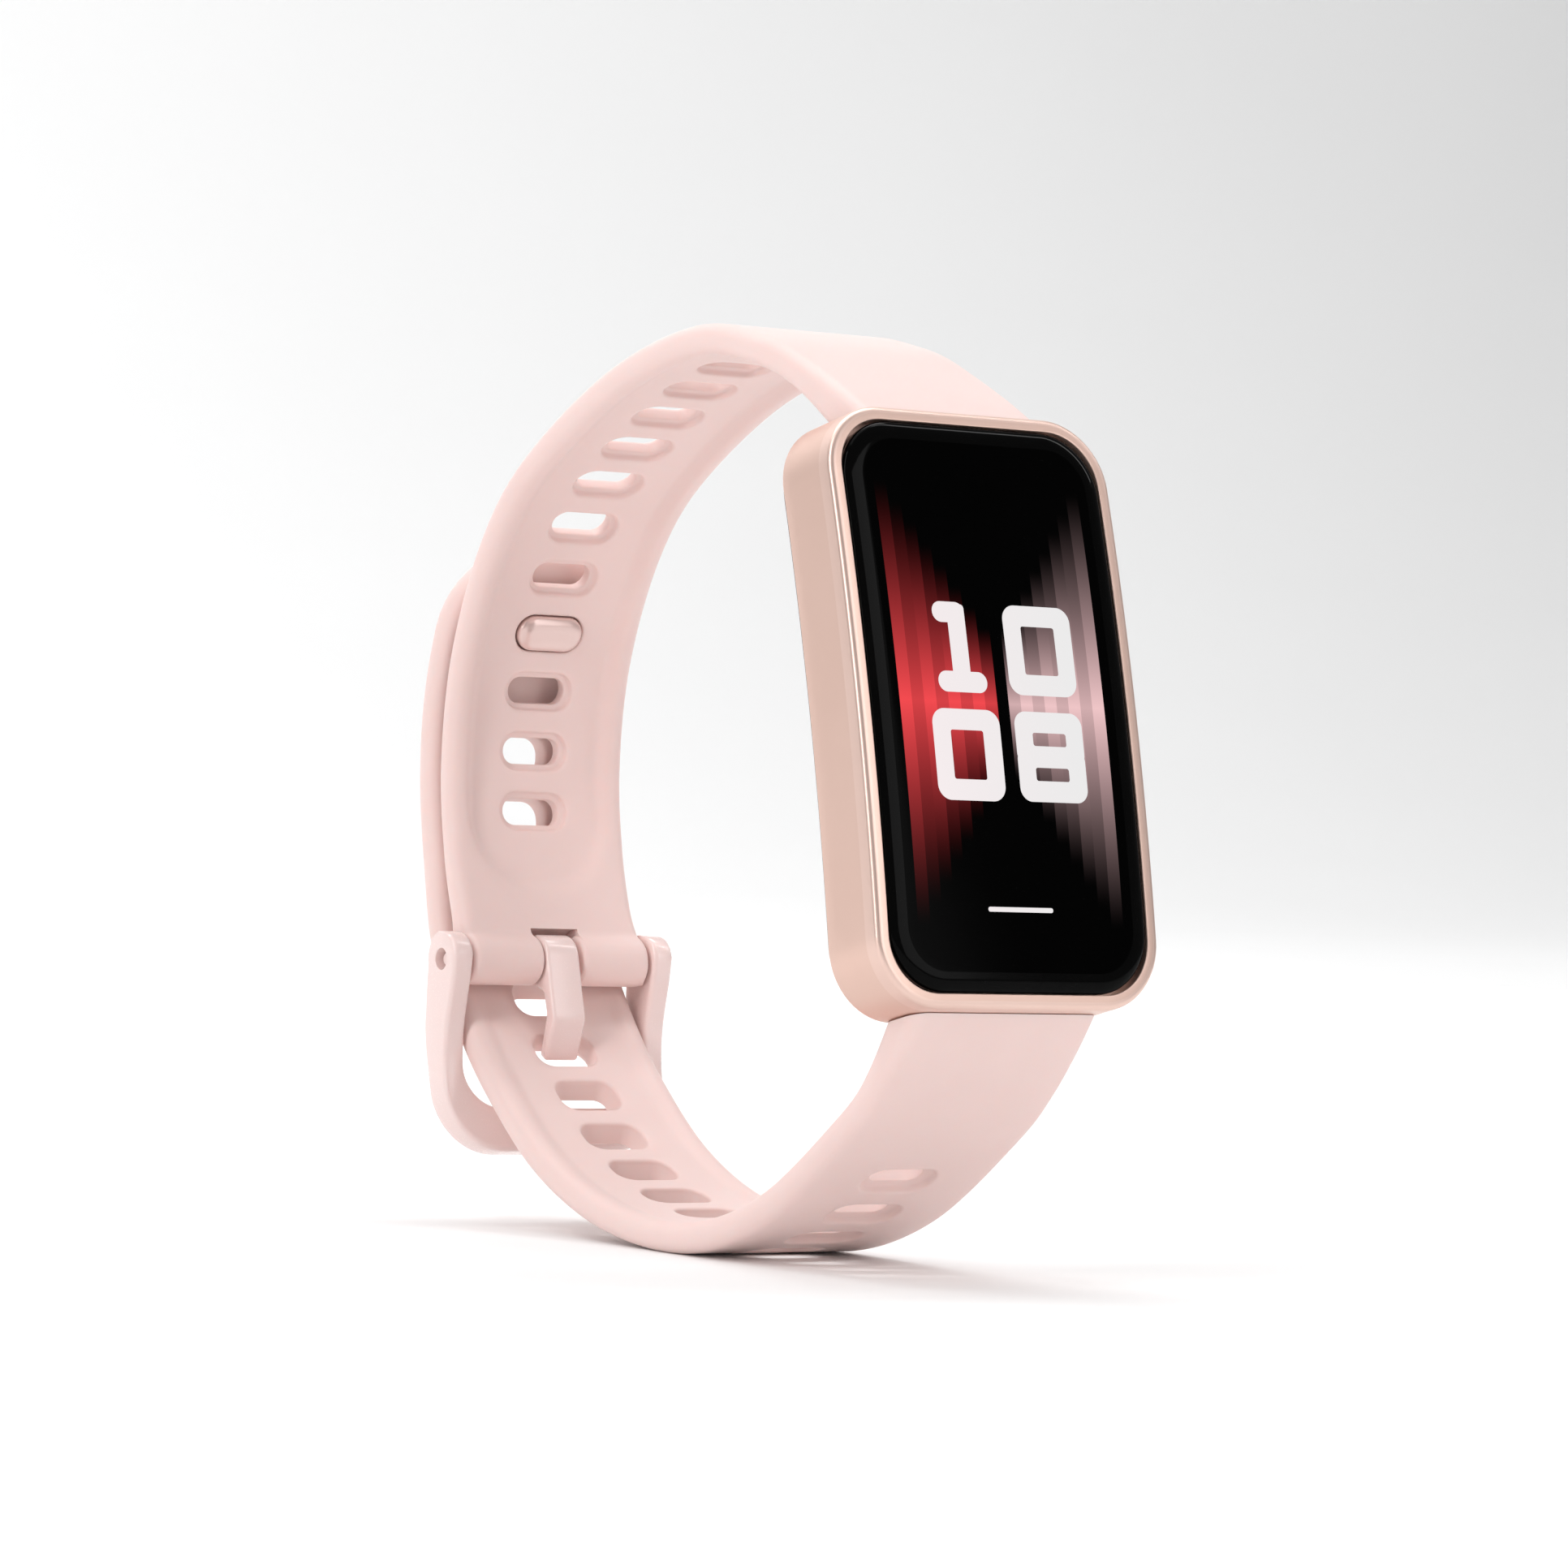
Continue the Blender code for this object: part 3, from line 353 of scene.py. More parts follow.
def surface(name, one, two, roughness, metallic=0.0, mottle=160.0, grain=9000.0, grain_depth=0.004,
            grain_strength=0.25, stretch=(1, 1, 1), coat=0.0, coat_roughness=0.1, subsurface=0.0,
            specular=0.5, sheen=0.0):
    """A moulded or finished surface: two close tones mottled, varied roughness, raised grain."""
    mat, tree, shader = nodes_of(name)
    place = coordinates(tree, stretch)
    broad = spread(tree, noise(tree, place, mottle), 0.0, 1.0)
    tree.links.new(mixed(tree, broad, one, two), shader.inputs["Base Color"])
    fine = noise(tree, place, grain, 2.0)
    tree.links.new(spread(tree, fine, *roughness), shader.inputs["Roughness"])
    bump = tree.nodes.new("ShaderNodeBump")
    fill(bump, {"Strength": grain_strength, "Distance": grain_depth * MM})
    tree.links.new(fine, bump.inputs["Height"])
    tree.links.new(bump.outputs["Normal"], shader.inputs["Normal"])
    fill(shader, {"Metallic": metallic, "Specular IOR Level": specular, "Coat Weight": coat,
                  "Coat Roughness": coat_roughness, "Sheen Weight": sheen, "Sheen Roughness": 0.4})
    if subsurface:
        fill(shader, {"Subsurface Weight": subsurface, "Subsurface Radius": (1.0, 0.45, 0.35),
                      "Subsurface Scale": 0.6 * MM})
    return mat


def math_node(tree, operation, *values, clamp=False):
    node = tree.nodes.new("ShaderNodeMath")
    node.operation = operation
    node.use_clamp = clamp
    for socket, value in zip(node.inputs, values):
        if isinstance(value, (int, float)):
            socket.default_value = value
        else:
            tree.links.new(value, socket)
    return node.outputs[0]


def bar_glow(tree, x, z, side, colour):
    """Even upright bars on one side of the screen, each a step shorter than the one outside it."""
    calc = partial(math_node, tree)
    reach = calc("SUBTRACT", BAR_EDGE, calc("MULTIPLY", x, side))
    index = calc("FLOOR", calc("DIVIDE", reach, BAR_WIDTH))
    shown = calc("MULTIPLY", calc("GREATER_THAN", reach, 0.0), calc("LESS_THAN", index, BARS - 0.5))
    half = calc("MULTIPLY_ADD", index, -BAR_STEP, BAR_TALL)
    away = calc("DIVIDE", calc("ABSOLUTE", z), half)
    fade = calc("POWER", calc("SUBTRACT", 1.0, away, clamp=True), 2.0)
    every_other = calc("MULTIPLY_ADD", calc("MODULO", index, 2.0), -0.25, 1.0)
    level = calc("MULTIPLY", calc("MULTIPLY", fade, shown), every_other)
    node = tree.nodes.new("ShaderNodeVectorMath")
    node.operation = "SCALE"
    node.inputs[0].default_value = colour
    tree.links.new(level, node.inputs["Scale"])
    return node.outputs["Vector"]


def case_axes(tree):
    """The case's own coordinates, and its X and Z apart."""
    place = coordinates(tree, turned=True)
    parts = tree.nodes.new("ShaderNodeSeparateXYZ")
    tree.links.new(place, parts.inputs["Vector"])
    return place, parts.outputs["X"], parts.outputs["Z"]


def display_material():
    """Gloss black glass over a lit watch face of plain upright bars."""
    mat, tree, shader = nodes_of("display_face")
    place, x, z = case_axes(tree)
    both = tree.nodes.new("ShaderNodeVectorMath")
    both.operation = "ADD"
    tree.links.new(bar_glow(tree, x, z, -1.0, (0.90, 0.07, 0.08)), both.inputs[0])
    tree.links.new(bar_glow(tree, x, z, 1.0, (0.86, 0.56, 0.57)), both.inputs[1])
    tree.links.new(both.outputs["Vector"], shader.inputs["Emission Color"])
    smudge = noise(tree, place, 90.0)
    tree.links.new(spread(tree, smudge, 0.05, 0.09), shader.inputs["Roughness"])
    tree.links.new(mixed(tree, smudge, (0.0004, 0.0004, 0.0004), (0.0008, 0.0008, 0.0008)),
                   shader.inputs["Base Color"])
    fill(shader, {"Emission Strength": 1.0, "Specular IOR Level": 0.02})
    return mat


def digit_material():
    """A lit digit, a little warmer on its left."""
    mat, tree, shader = nodes_of("digit_light")
    place, x, _ = case_axes(tree)
    shade = spread(tree, x, 0.0, 1.0, -DIGITS_HALF, DIGITS_HALF)
    tree.links.new(mixed(tree, shade, (0.88, 0.80, 0.81), (0.80, 0.80, 0.80)),
                   shader.inputs["Emission Color"])
    fill(shader, {"Emission Strength": 1.0, "Base Color": (0.02, 0.02, 0.02, 1)})
    tree.links.new(spread(tree, noise(tree, place, 90.0), 0.05, 0.09), shader.inputs["Roughness"])
    return mat


strap_soft = surface(
    "strap_elastomer", (0.87, 0.665, 0.63), (0.85, 0.645, 0.61), (0.46, 0.60), mottle=120.0,
    grain=14000.0, grain_depth=0.003, grain_strength=0.18, subsurface=0.25, sheen=0.08)
pink_gloss = surface(
    "buckle_plastic", (0.90, 0.715, 0.685), (0.88, 0.69, 0.66), (0.22, 0.28), mottle=120.0,
    grain=9000.0, grain_strength=0.0, subsurface=0.1, coat=0.4, coat_roughness=0.16)
stud_gloss = surface(
    "stud_pearl", (0.82, 0.61, 0.57), (0.79, 0.58, 0.54), (0.2, 0.26), mottle=120.0, grain=4000.0,
    grain_strength=0.0, coat=0.7, metallic=0.3)
rose_satin = surface(
    "rose_satin", (0.78, 0.555, 0.475), (0.76, 0.535, 0.455), (0.34, 0.44), metallic=0.85, mottle=90.0,
    grain=16000.0, grain_depth=0.003, grain_strength=0.2)
# The rounded front edge: the rose metal a little smoother, in a lighter tone that is painted highlight.
rose_edge_highlight_tone = surface(
    "rose_edge_painted_highlight", (0.82, 0.60, 0.525), (0.80, 0.58, 0.505), (0.34, 0.40), metallic=0.8, mottle=140.0,
    grain=16000.0, grain_depth=0.001, grain_strength=0.05)
glass_black = surface(
    "glass_black", (0.001, 0.001, 0.001), (0.002, 0.002, 0.002), (0.05, 0.09), mottle=90.0,
    grain_strength=0.0, specular=0.05)
window_black = surface(
    "window_black", (0.006, 0.006, 0.007), (0.010, 0.010, 0.011), (0.06, 0.10), grain_strength=0.0,
    coat=0.5, coat_roughness=0.05)
back_black = surface(
    "back_moulding", (0.016, 0.016, 0.018), (0.022, 0.021, 0.022), (0.42, 0.58), mottle=200.0,
    grain=12000.0, grain_depth=0.006, grain_strength=0.35)
seal_soft = surface("seal_rubber", (0.02, 0.02, 0.02), (0.035, 0.033, 0.033), (0.6, 0.75))
steel_satin = surface(
    "steel_brushed", (0.58, 0.57, 0.56), (0.66, 0.65, 0.64), (0.24, 0.38), metallic=1.0, mottle=500.0,
    stretch=(0.08, 1, 1), grain=6000.0)
gold_plate = surface(
    "contact_gold", (0.86, 0.60, 0.24), (0.93, 0.70, 0.36), (0.16, 0.28), metallic=1.0, mottle=900.0)
board_mask = surface(
    "board_solder_mask", (0.012, 0.09, 0.045), (0.02, 0.14, 0.07), (0.3, 0.45), mottle=700.0)
foil = surface(
    "battery_pouch", (0.55, 0.55, 0.57), (0.68, 0.68, 0.70), (0.3, 0.45), metallic=0.9, mottle=500.0,
    grain=2500.0, grain_depth=0.02)
chip_resin = surface("chip_resin", (0.30, 0.36, 0.28), (0.42, 0.48, 0.36), (0.12, 0.22), coat=0.6)
diode_resin = surface("diode_resin", (0.03, 0.032, 0.04), (0.05, 0.05, 0.062), (0.12, 0.2), coat=0.5)
film_amber = surface("flex_film", (0.48, 0.22, 0.05), (0.60, 0.30, 0.08), (0.25, 0.4), mottle=900.0)
display_face = display_material()
digit_light = digit_material()


# ---- case
def build_case():
    """The mid frame: satin walls, a slightly smoother front edge tinted lighter as painted highlight, a
    flat rim and a pocket for the glass.
    """
    levels = arc(0.22, 1.58, 0.22, 90, 180, 4) + [(0.0, 0.6), (0.0, -1.2), (0.0, -2.8)]
    satin = len(levels) - 1
    # The rounded front edge gets the lighter rose, a painted highlight.
    levels += arc(0.42, -3.78, 0.42, 180, 270, 8)
    edge_highlight_end = len(levels)
    levels += [(0.52, -4.215), (0.9, -4.235)] + arc(0.92, -4.155, 0.08, 270, 360, 3)
    levels += [(1.0, -3.4), (1.0, -2.7), (2.4, -2.7), (2.4, -2.0), (1.4, -2.0), (1.4, 1.8)]
    bands = [1 if satin <= k < edge_highlight_end else 0 for k in range(len(levels))]
    bm = bmesh.new()
    skin(bm, case_rings(levels, (CASE_W, CASE_H, CASE_R)), closed=True, slots=bands)
    bow(bm)
    pocket = grown(BUTTON_L, BUTTON_D, [(0.24, -0.85), (0.24, -0.06), (0.4, 0.02), (0.4, 1.0)])
    bm = carve(bm, [stadium_body(pocket, button_place())], slots=2)
    add_piece("case_shell", bm, [rose_satin, rose_edge_highlight_tone], replaced=("mid_frame",),
              sharp=50)


def button_place():
    """The button's frame: its length along Z and its height out of the right wall."""
    return Matrix(((0, 0, 1, CASE_W / 2), (0, -1, 0, BUTTON_Y), (1, 0, 0, BUTTON_Z), (0, 0, 0, 1)))


def build_button():
    cap = grown(BUTTON_L, BUTTON_D, [(-0.1, -0.35), (0, -0.3), (0, 0.2), (-0.06, 0.33), (-0.2, 0.41),
                                     (-0.5, 0.45)])
    cap.append((7.6, 0.9, 0.455))
    add_piece("button_cap", stadium_body(cap, button_place()), [rose_satin],
              "side_button", ("side_button",), sharp=50)


def build_glass():
    """Glass with a rounded rim; its flat middle is the display's window."""
    size = (GLASS_W, GLASS_H, GLASS_R)
    face = GLASS_FACE / MM
    levels = [(0.15, face + 0.9), (0.0, face + 0.78)]
    for share in sines(*range(90, -1, -9)):
        drop = 1 - math.sqrt(max(0.0, 1 - share ** GLASS_RIM_FULLNESS))
        levels.append((GLASS_RIM_W * (1 - share), face + GLASS_RIM_DROP * drop))
    levels.append((2.0, face))
    bm = bmesh.new()
    loops = skin(bm, case_rings(levels, size))
    cap_across(bm, loops[0])
    cap_across(bm, loops[-1])
    for flat in bm.faces:
        if all(vert.co.y < GLASS_FACE + 0.004 * MM for vert in flat.verts):
            flat.material_index = 1
    bow(bm)
    add_piece("front_glass", bm, [glass_black, display_face],
              replaced=("cover_glass",), sharp=60)


def lit_mark(width, height, corner, x, z, stroke=0.0):
    """A thin lit mark on the glass, in millimetres: a solid block, or a ring of one stroke."""
    low, high = GLASS_FACE - MARK_OUT, GLASS_FACE + MARK_IN
    outer = outline(width * MM, height * MM, corner * MM)
    levels = [(outer, low), (outer, high)]
    if stroke:
        inner = outline((width - 2 * stroke) * MM, (height - 2 * stroke) * MM, 0.18 * MM)
        levels += [(inner, high), (inner, low)]
    bm = bmesh.new()
    loops = skin(bm, [[(px + x * MM, y, pz + z * MM) for px, pz in ring] for ring, y in levels],
                 closed=bool(stroke))
    if not stroke:
        cap_ends(bm, loops)
    return bm


def build_digits():
    """Two rows of plain block digits, one and nought over nought and eight, and a bar below."""
    stroke = DIGIT_STROKE / MM
    marks = {
        "digit_nought_top": [lit_mark(5.9, 6.5, 1.1, 3.7, 3.95, stroke)],
        "digit_nought_low": [lit_mark(5.8, 6.5, 1.1, -3.4, -3.75, stroke)],
        "digit_eight": [lit_mark(5.9, 3.95, 1.0, 3.75, -2.45, stroke),
                        lit_mark(5.9, 3.95, 1.0, 3.75, -4.95, stroke)],
        "digit_one": [lit_mark(stroke, 6.2, 0.3, -3.3, 3.95), lit_mark(2.75, stroke, 0.74, -3.93, 6.45),
                      lit_mark(4.2, stroke, 0.74, -3.3, 1.45)],
        "progress_track": [lit_mark(5.6, 0.34, 0.16, 0.0, -14.6)],
    }
    for name, shapes in marks.items():
        bm = shapes[0]
        if len(shapes) > 1:
            bm = carve(bm, shapes[1:], "UNION")
        for k in range(-8, 9):
            bmesh.ops.bisect_plane(bm, geom=bm.verts[:] + bm.edges[:] + bm.faces[:],
                                   plane_co=(0, 0, k * MM), plane_no=(0, 0, 1), dist=CUT_SLACK)
        bow(bm)
        add_piece(name, bm, [digit_light], sharp=30)


def contact_place(x):
    return facing_back(x, REAR_FACE + CASE_ARCH * CONTACT_Z ** 2, CONTACT_Z)


def build_back():
    """The moulded back, with recesses for the sensor window and the two contacts."""
    levels = [(2.7, 3.4), (1.65, 2.5), (1.65, 1.9), (0.34, 1.9), (0.34, 2.1), (0.55, 2.45),
              (0.84, 2.86), (1.15, 3.26), (1.6, 3.66), (2.15, 3.96), (2.8, 4.14), (3.6, 4.2),
              (5.0, 4.2)]
    bm = bmesh.new()
    loops = skin(bm, case_rings(levels, (CASE_W, CASE_H, CASE_R + 0.4 * MM)))
    cap_across(bm, loops[0])
    cap_across(bm, loops[-1])
    bow(bm)
    window, contact = WINDOW_R / MM, CONTACT_R / MM
    tools = [lathe(recess(window + 0.15, window + 0.35, -2.0, -0.1, 0.06, 2.0),
                   facing_back(0, REAR_FACE, 0))]
    tools += [lathe(recess(contact + 0.15, contact + 0.35, -2.0, -0.15, 0.05, 1.0),
                    contact_place(x), 32) for x in (-CONTACT_X, CONTACT_X)]
    bm = carve(bm, tools)
    add_piece("back_shell", bm, [back_black], replaced=("back_cover",), sharp=45)


def build_sensor():
    """The domed window with its lens and two diodes, and the charging contacts."""
    window, contact = WINDOW_R / MM, CONTACT_R / MM
    middle = facing_back(0, REAR_FACE, 0)
    dome = [(0, -0.8), (window - 0.1, -0.8), (window, -0.7), (window, 0.05), (window - 0.06, 0.18),
            (window - 0.25, 0.28), (window - 0.6, 0.33), (4.0, 0.365), (2.0, 0.39), (0, 0.4)]
    add_piece("window_pane", lathe(dome, middle, 96), [window_black],
              replaced=("sensor_window",), sharp=50)
    ring = [(0, 0.36), (1.5, 0.36), (1.5, 0.415), (1.42, 0.43), (1.3, 0.425), (1.2, 0.405), (0, 0.405)]
    add_piece("window_led_lens", lathe(ring, middle, 48), [chip_resin])
    lens = grown(3.0 * MM, 1.5 * MM, [(0, 0.3), (0, 0.385), (-0.1, 0.4), (-0.5, 0.402)])
    disc = [(0, -0.9), (contact, -0.9), (contact, 0.0), (contact - 0.06, 0.1), (contact - 0.2, 0.13),
            (0.45, 0.09), (0.2, 0.06), (0, 0.055)]
    sides = (("left", -1), ("right", 1))
    for name, side in sides:
        basis = facing_back(side * 3.0 * MM, REAR_FACE, 0) @ Matrix.Rotation(math.radians(90), 4, "Z")
        add_piece("window_diode_lens_" + name, stadium_body(lens, basis), [diode_resin])
    for name, side in sides:
        add_piece("contact_" + name, lathe(disc, contact_place(side * CONTACT_X), 40),
                  [gold_plate], replaced=("charging_contact_" + name,), sharp=50)


# ---- strap
class Route:
    """A smooth side-view curve read by its length; +1 or -1 picks the outward side."""
    SAMPLES = 40

    def __init__(self, points, side):
        """A Catmull-Rom curve through (y, z) points in millimetres, cut into short steps."""
        pts = np.array(points) * MM
        pts = np.vstack([2 * pts[0] - pts[1], pts, 2 * pts[-1] - pts[-2]])
        samples = []
        for i in range(1, len(pts) - 2):
            p0, p1, p2, p3 = pts[i - 1:i + 3]
            for t in np.linspace(0, 1, self.SAMPLES, endpoint=False):
                square, cube = 2 * p0 - 5 * p1 + 4 * p2 - p3, 3 * p1 - p0 - 3 * p2 + p3
                samples.append(p1 + ((p2 - p0) * t + square * t ** 2 + cube * t ** 3) / 2)
        samples.append(pts[-2])
        self.points = np.array(samples)
        steps = np.linalg.norm(np.diff(self.points, axis=0), axis=1)
        self.lengths = np.concatenate([[0], np.cumsum(steps)])
        self.length = float(self.lengths[-1])
        self.side = side

    def point(self, s):
        return np.array([np.interp(s, self.lengths, self.points[:, k]) for k in (0, 1)])

    def at(self, s):
        """Points and unit tangents and outward normals at length s, in (y, z)."""
        step = 0.35 * MM
        tangent = self.point(s + step) - self.point(s - step)
        tangent = tangent / np.linalg.norm(tangent, axis=0)
        return self.point(s), tangent, self.side * np.array([-tangent[1], tangent[0]])

    def length_at(self, index):
        return float(self.lengths[index * self.SAMPLES])

    def wrap(self, flat):
        """Bend flat points (x across, s along, t outward) onto the route."""
        point, _, normal = self.at(flat[:, 1])
        bent = point + normal * flat[:, 2]
        return np.column_stack([flat[:, 0], bent[0], bent[1]])

    def basis(self, s):
        point, tangent, normal = self.at(s)
        return Matrix(((1, 0, 0, 0), (0, tangent[0], normal[0], point[0]),
                       (0, tangent[1], normal[1], point[1]), (0, 0, 0, 1)))


upper_route = Route(UPPER_ROUTE, 1)
lower_route = Route(LOWER_ROUTE, -1)
UPPER_PIN_S = upper_route.length_at(UPPER_PIN_POINT)


def smooth(value):
    value = min(max(value, 0.0), 1.0)
    return value * value * (3 - 2 * value)


def end_thickness(s):
    return STRAP_END_T + (STRAP_T - STRAP_END_T) * smooth((s - STRAP_END_S) / STRAP_END_L)


def upper_shape(s):
    """Half width, outward and inward half thickness and edge radius, with the barrel at the end."""
    reach = s - UPPER_PIN_S
    thick = end_thickness(s) / 2
    barrel = math.sqrt(max(BARREL_R ** 2 - reach ** 2, 0.0))
    if reach > 0:
        depth = max(barrel, 0.06 * BARREL_R)
    else:
        depth = (thick ** 6 + barrel ** 6) ** (1 / 6)
    edge = STRAP_EDGE + (0.6 * MM - STRAP_EDGE) * smooth((reach + 4 * MM) / (2.5 * MM))
    return STRAP_W / 2, depth, depth, edge


def lower_shape(s):
    """As upper_shape, with a rounded, thinned tip."""
    thick = end_thickness(s) / 2
    reach = max(0.0, (s - lower_route.length + TAIL_ROUND) / TAIL_ROUND)
    half = STRAP_W / 2 - (TAIL_ROUND - 0.5 * MM) * (1 - math.sqrt(max(0.0, 1 - reach * reach)))
    thick -= 0.2 * MM * reach ** 2
    nose = max(0.0, (s - lower_route.length + TAIL_NOSE) / TAIL_NOSE)
    thick *= max(math.sqrt(max(0.0, 1 - nose * nose)), 0.12)
    return half, thick, thick, STRAP_EDGE


def channel_depth(x, s, depth, ends):
    """The shallow trough in a strap's inner face, with rounded ends."""
    low, high = ends[0] + CHANNEL_HALF, ends[1] - CHANNEL_HALF
    past = max(low - s, s - high, 0.0)
    inside = CHANNEL_HALF - math.hypot(x, past)
    return depth * smooth(inside / CHANNEL_SOFT + 0.5)


def section_points(s, shape, inner):
    """One closed section: outer columns, right edge, inner columns, left edge, as (x, t)."""
    half, up, down, edge = shape(s)
    edge = min(edge, (up + down) / 2 * 0.98, half * 0.5)
    share = half / (STRAP_W / 2)
    columns = [COLUMN_HALF * share * (2 * k / COLUMNS - 1) for k in range(COLUMNS + 1)]
    flat_end = half - edge
    outer_run = list(np.linspace(columns[-1], flat_end, 6)[1:-1])
    inner_run = list(np.linspace(flat_end, columns[-1], 14)[1:-1])
    right = [(x, up) for x in outer_run]
    right += arc(flat_end, up - edge, edge, 90, 0, 7) + arc(flat_end, edge - down, edge, 0, -90, 7)
    right += [(x, inner(x, s, -down)) for x in inner_run]
    left = [(-x, t) for x, t in reversed(right)]
    over = [(x, up) for x in columns]
    under = [(x, inner(x, s, -down)) for x in reversed(columns)]
    return over, right, under, left


def hole_ring(boundary, centre, ring):
    """Points of a round-cornered hole outline, one for each point of the cell round it."""
    half_x, half_s, radius = (value * MM for value in ring)
    points = []
    for x, s in boundary:
        core_x = min(max(x, radius - half_x), half_x - radius)
        core_s = min(max(s - centre, radius - half_s), half_s - radius)
        away = np.array([x - core_x, s - centre - core_s])
        away = away / np.linalg.norm(away) * radius
        points.append((core_x + away[0], centre + core_s + away[1]))
    return points


def strap_rows(centres, tail_rows):
    """Places of a strap's sections, with the row where its hole cells start."""
    edges = [(one + two) / 2 for one, two in zip(centres, centres[1:])]
    edges = [2 * centres[0] - edges[0], *edges, 2 * centres[-1] - edges[-1]]
    rows = [(s, True) for s in np.linspace(0, edges[0], int(edges[0] / ROW_STEP) + 1)]
    start = len(rows) - 1
    for one, two in zip(edges, edges[1:]):
        rows += [(one + (two - one) * k / CELL_ROWS, k == CELL_ROWS) for k in range(1, CELL_ROWS + 1)]
    return rows + [(s, True) for s in tail_rows(edges[-1])], start


def strap_sections(bm, rows, shape, inner):
    """Each section's vertices; a row inside a hole cell has only its outermost columns."""
    table = []
    for s, full in rows:
        over, right, under, left = section_points(s, shape, inner)
        keep = range(COLUMNS + 1) if full else (0, COLUMNS)
        over = {k: bm.verts.new((over[k][0], s, over[k][1])) for k in keep}
        under = {k: bm.verts.new((under[COLUMNS - k][0], s, under[COLUMNS - k][1])) for k in keep}
        right = [over[COLUMNS]] + [bm.verts.new((x, s, t)) for x, t in right] + [under[COLUMNS]]
        left = [under[0]] + [bm.verts.new((x, s, t)) for x, t in left] + [over[0]]
        table.append((over, right, under, left))
    return table


def skin_sections(bm, table, cell_rows):
    """Quads between sections, leaving both faces of the hole cells open, and the two end caps."""
    for j, (one, two) in enumerate(zip(table, table[1:])):
        for run in (1, 3) if j in cell_rows else (1, 3, 0, 2):
            for k in range(len(one[run]) - 1):
                bm.faces.new((one[run][k], one[run][k + 1], two[run][k + 1], two[run][k]))
    for over, right, under, left in (table[0], table[-1]):
        loop = [over[k] for k in range(COLUMNS)] + right[:-1]
        loop += [under[k] for k in range(COLUMNS, 0, -1)] + left[:-1]
        bm.faces.new(loop)


def fill_cell(bm, table, centre, shape, inner, rings):
    """Concentric rings that lead from a cell's outer face through its hole to its inner face."""
    sides = []
    for face in (0, 2):
        edge = [table[0][face][k] for k in range(COLUMNS + 1)]
        edge += [table[k][face][COLUMNS] for k in range(1, CELL_ROWS)]
        edge += [table[CELL_ROWS][face][k] for k in range(COLUMNS, -1, -1)]
        edge += [table[k][face][0] for k in range(CELL_ROWS - 1, 0, -1)]
        sides.append(edge)
    boundary = [(vert.co.x, vert.co.y) for vert in sides[0]]

    def halfway(ring):
        hole = hole_ring(boundary, centre, ring[:3])
        return [((a + c) / 2, (b + d) / 2) for (a, b), (c, d) in zip(boundary, hole)]

    def outer_loop(places, depth=0.0):
        return [bm.verts.new((x, s, shape(s)[1] - depth * MM)) for x, s in places]

    def inner_loop(places, depth=0.0):
        return [bm.verts.new((x, s, inner(x, s, -shape(s)[2]) + depth * MM)) for x, s in places]

    outer_rings, inner_rings = rings
    loops = [sides[0], outer_loop(halfway(outer_rings[0]))]
    loops += [outer_loop(hole_ring(boundary, centre, ring[:3]), ring[3]) for ring in outer_rings]
    loops += [inner_loop(hole_ring(boundary, centre, ring[:3]), ring[3]) for ring in inner_rings]
    loops += [inner_loop(halfway(inner_rings[-1])), sides[1]]
    join_loops(bm, loops)


def build_strap(route, shape, trough, centres, rings_of, tail_rows):
    """A strap as one mesh: sections along its route, with a ring-built cell for each hole."""
    def inner(x, s, base):
        return base + channel_depth(x, s, *trough)

    rows, start = strap_rows(centres, tail_rows)
    bm = bmesh.new()
    table = strap_sections(bm, rows, shape, inner)
    skin_sections(bm, table, range(start, start + len(centres) * CELL_ROWS))
    for cell, centre in enumerate(centres):
        row = start + cell * CELL_ROWS
        fill_cell(bm, table[row:row + CELL_ROWS + 1], centre, shape, inner, rings_of(cell))
    bent = route.wrap(np.array([tuple(vert.co) for vert in bm.verts]))
    for vert, place in zip(bm.verts, bent):
        vert.co = place
    return bm


def trim_at_case(bm, level, keep):
    """Cut the strap off square, just clear of the case's end wall."""
    near = {vert for vert in bm.verts if vert.co.y < 9 * MM}
    geometry = list(near)
    geometry += [part for part in bm.edges[:] + bm.faces[:] if near.issuperset(part.verts)]
    bmesh.ops.bisect_plane(bm, geom=geometry, plane_co=(0, 0, level), plane_no=(0, 0, keep),
                           clear_inner=True, dist=CUT_SLACK)
    bmesh.ops.holes_fill(bm, edges=[edge for edge in bm.edges if edge.is_boundary])


def latch_s(route):
    """The length along a route at which its latch sits, just past the case's end wall."""
    heights = np.abs(route.points[:80, 1])
    return float(np.interp(CASE_H / 2, heights, route.lengths[:80])) + LATCH_OUT


def latch_well(route):
    face = -end_thickness(latch_s(route)) / 2 / MM
    levels = grown(LATCH_L, LATCH_W, [(0.24, face + 0.8), (0.24, face + 0.06), (0.44, face - 0.02),
                                      (0.44, face - 1.5)])
    return stadium_body(levels, route.basis(latch_s(route)))


def build_latch(name, route):
    face = -end_thickness(latch_s(route)) / 2 / MM - 0.15
    levels = grown(LATCH_L, LATCH_W, [(0, face + 0.5), (0, face + 0.16), (-0.08, face + 0.06),
                                      (-0.25, face + 0.01), (-0.9, face + 0.03), (-1.6, face + 0.05)])
    add_piece(name + "_latch_button", stadium_body(levels, route.basis(latch_s(route))),
              [pink_gloss], name + "_latch", (name + "_release_latch",), sharp=50)


def ring_steps(half_w, half_l, corner, steps):
    """Hole rings grown from one size by steps of (growth, depth)."""
    return [(half_w + grow, half_l + grow, corner + grow, depth) for grow, depth in steps]


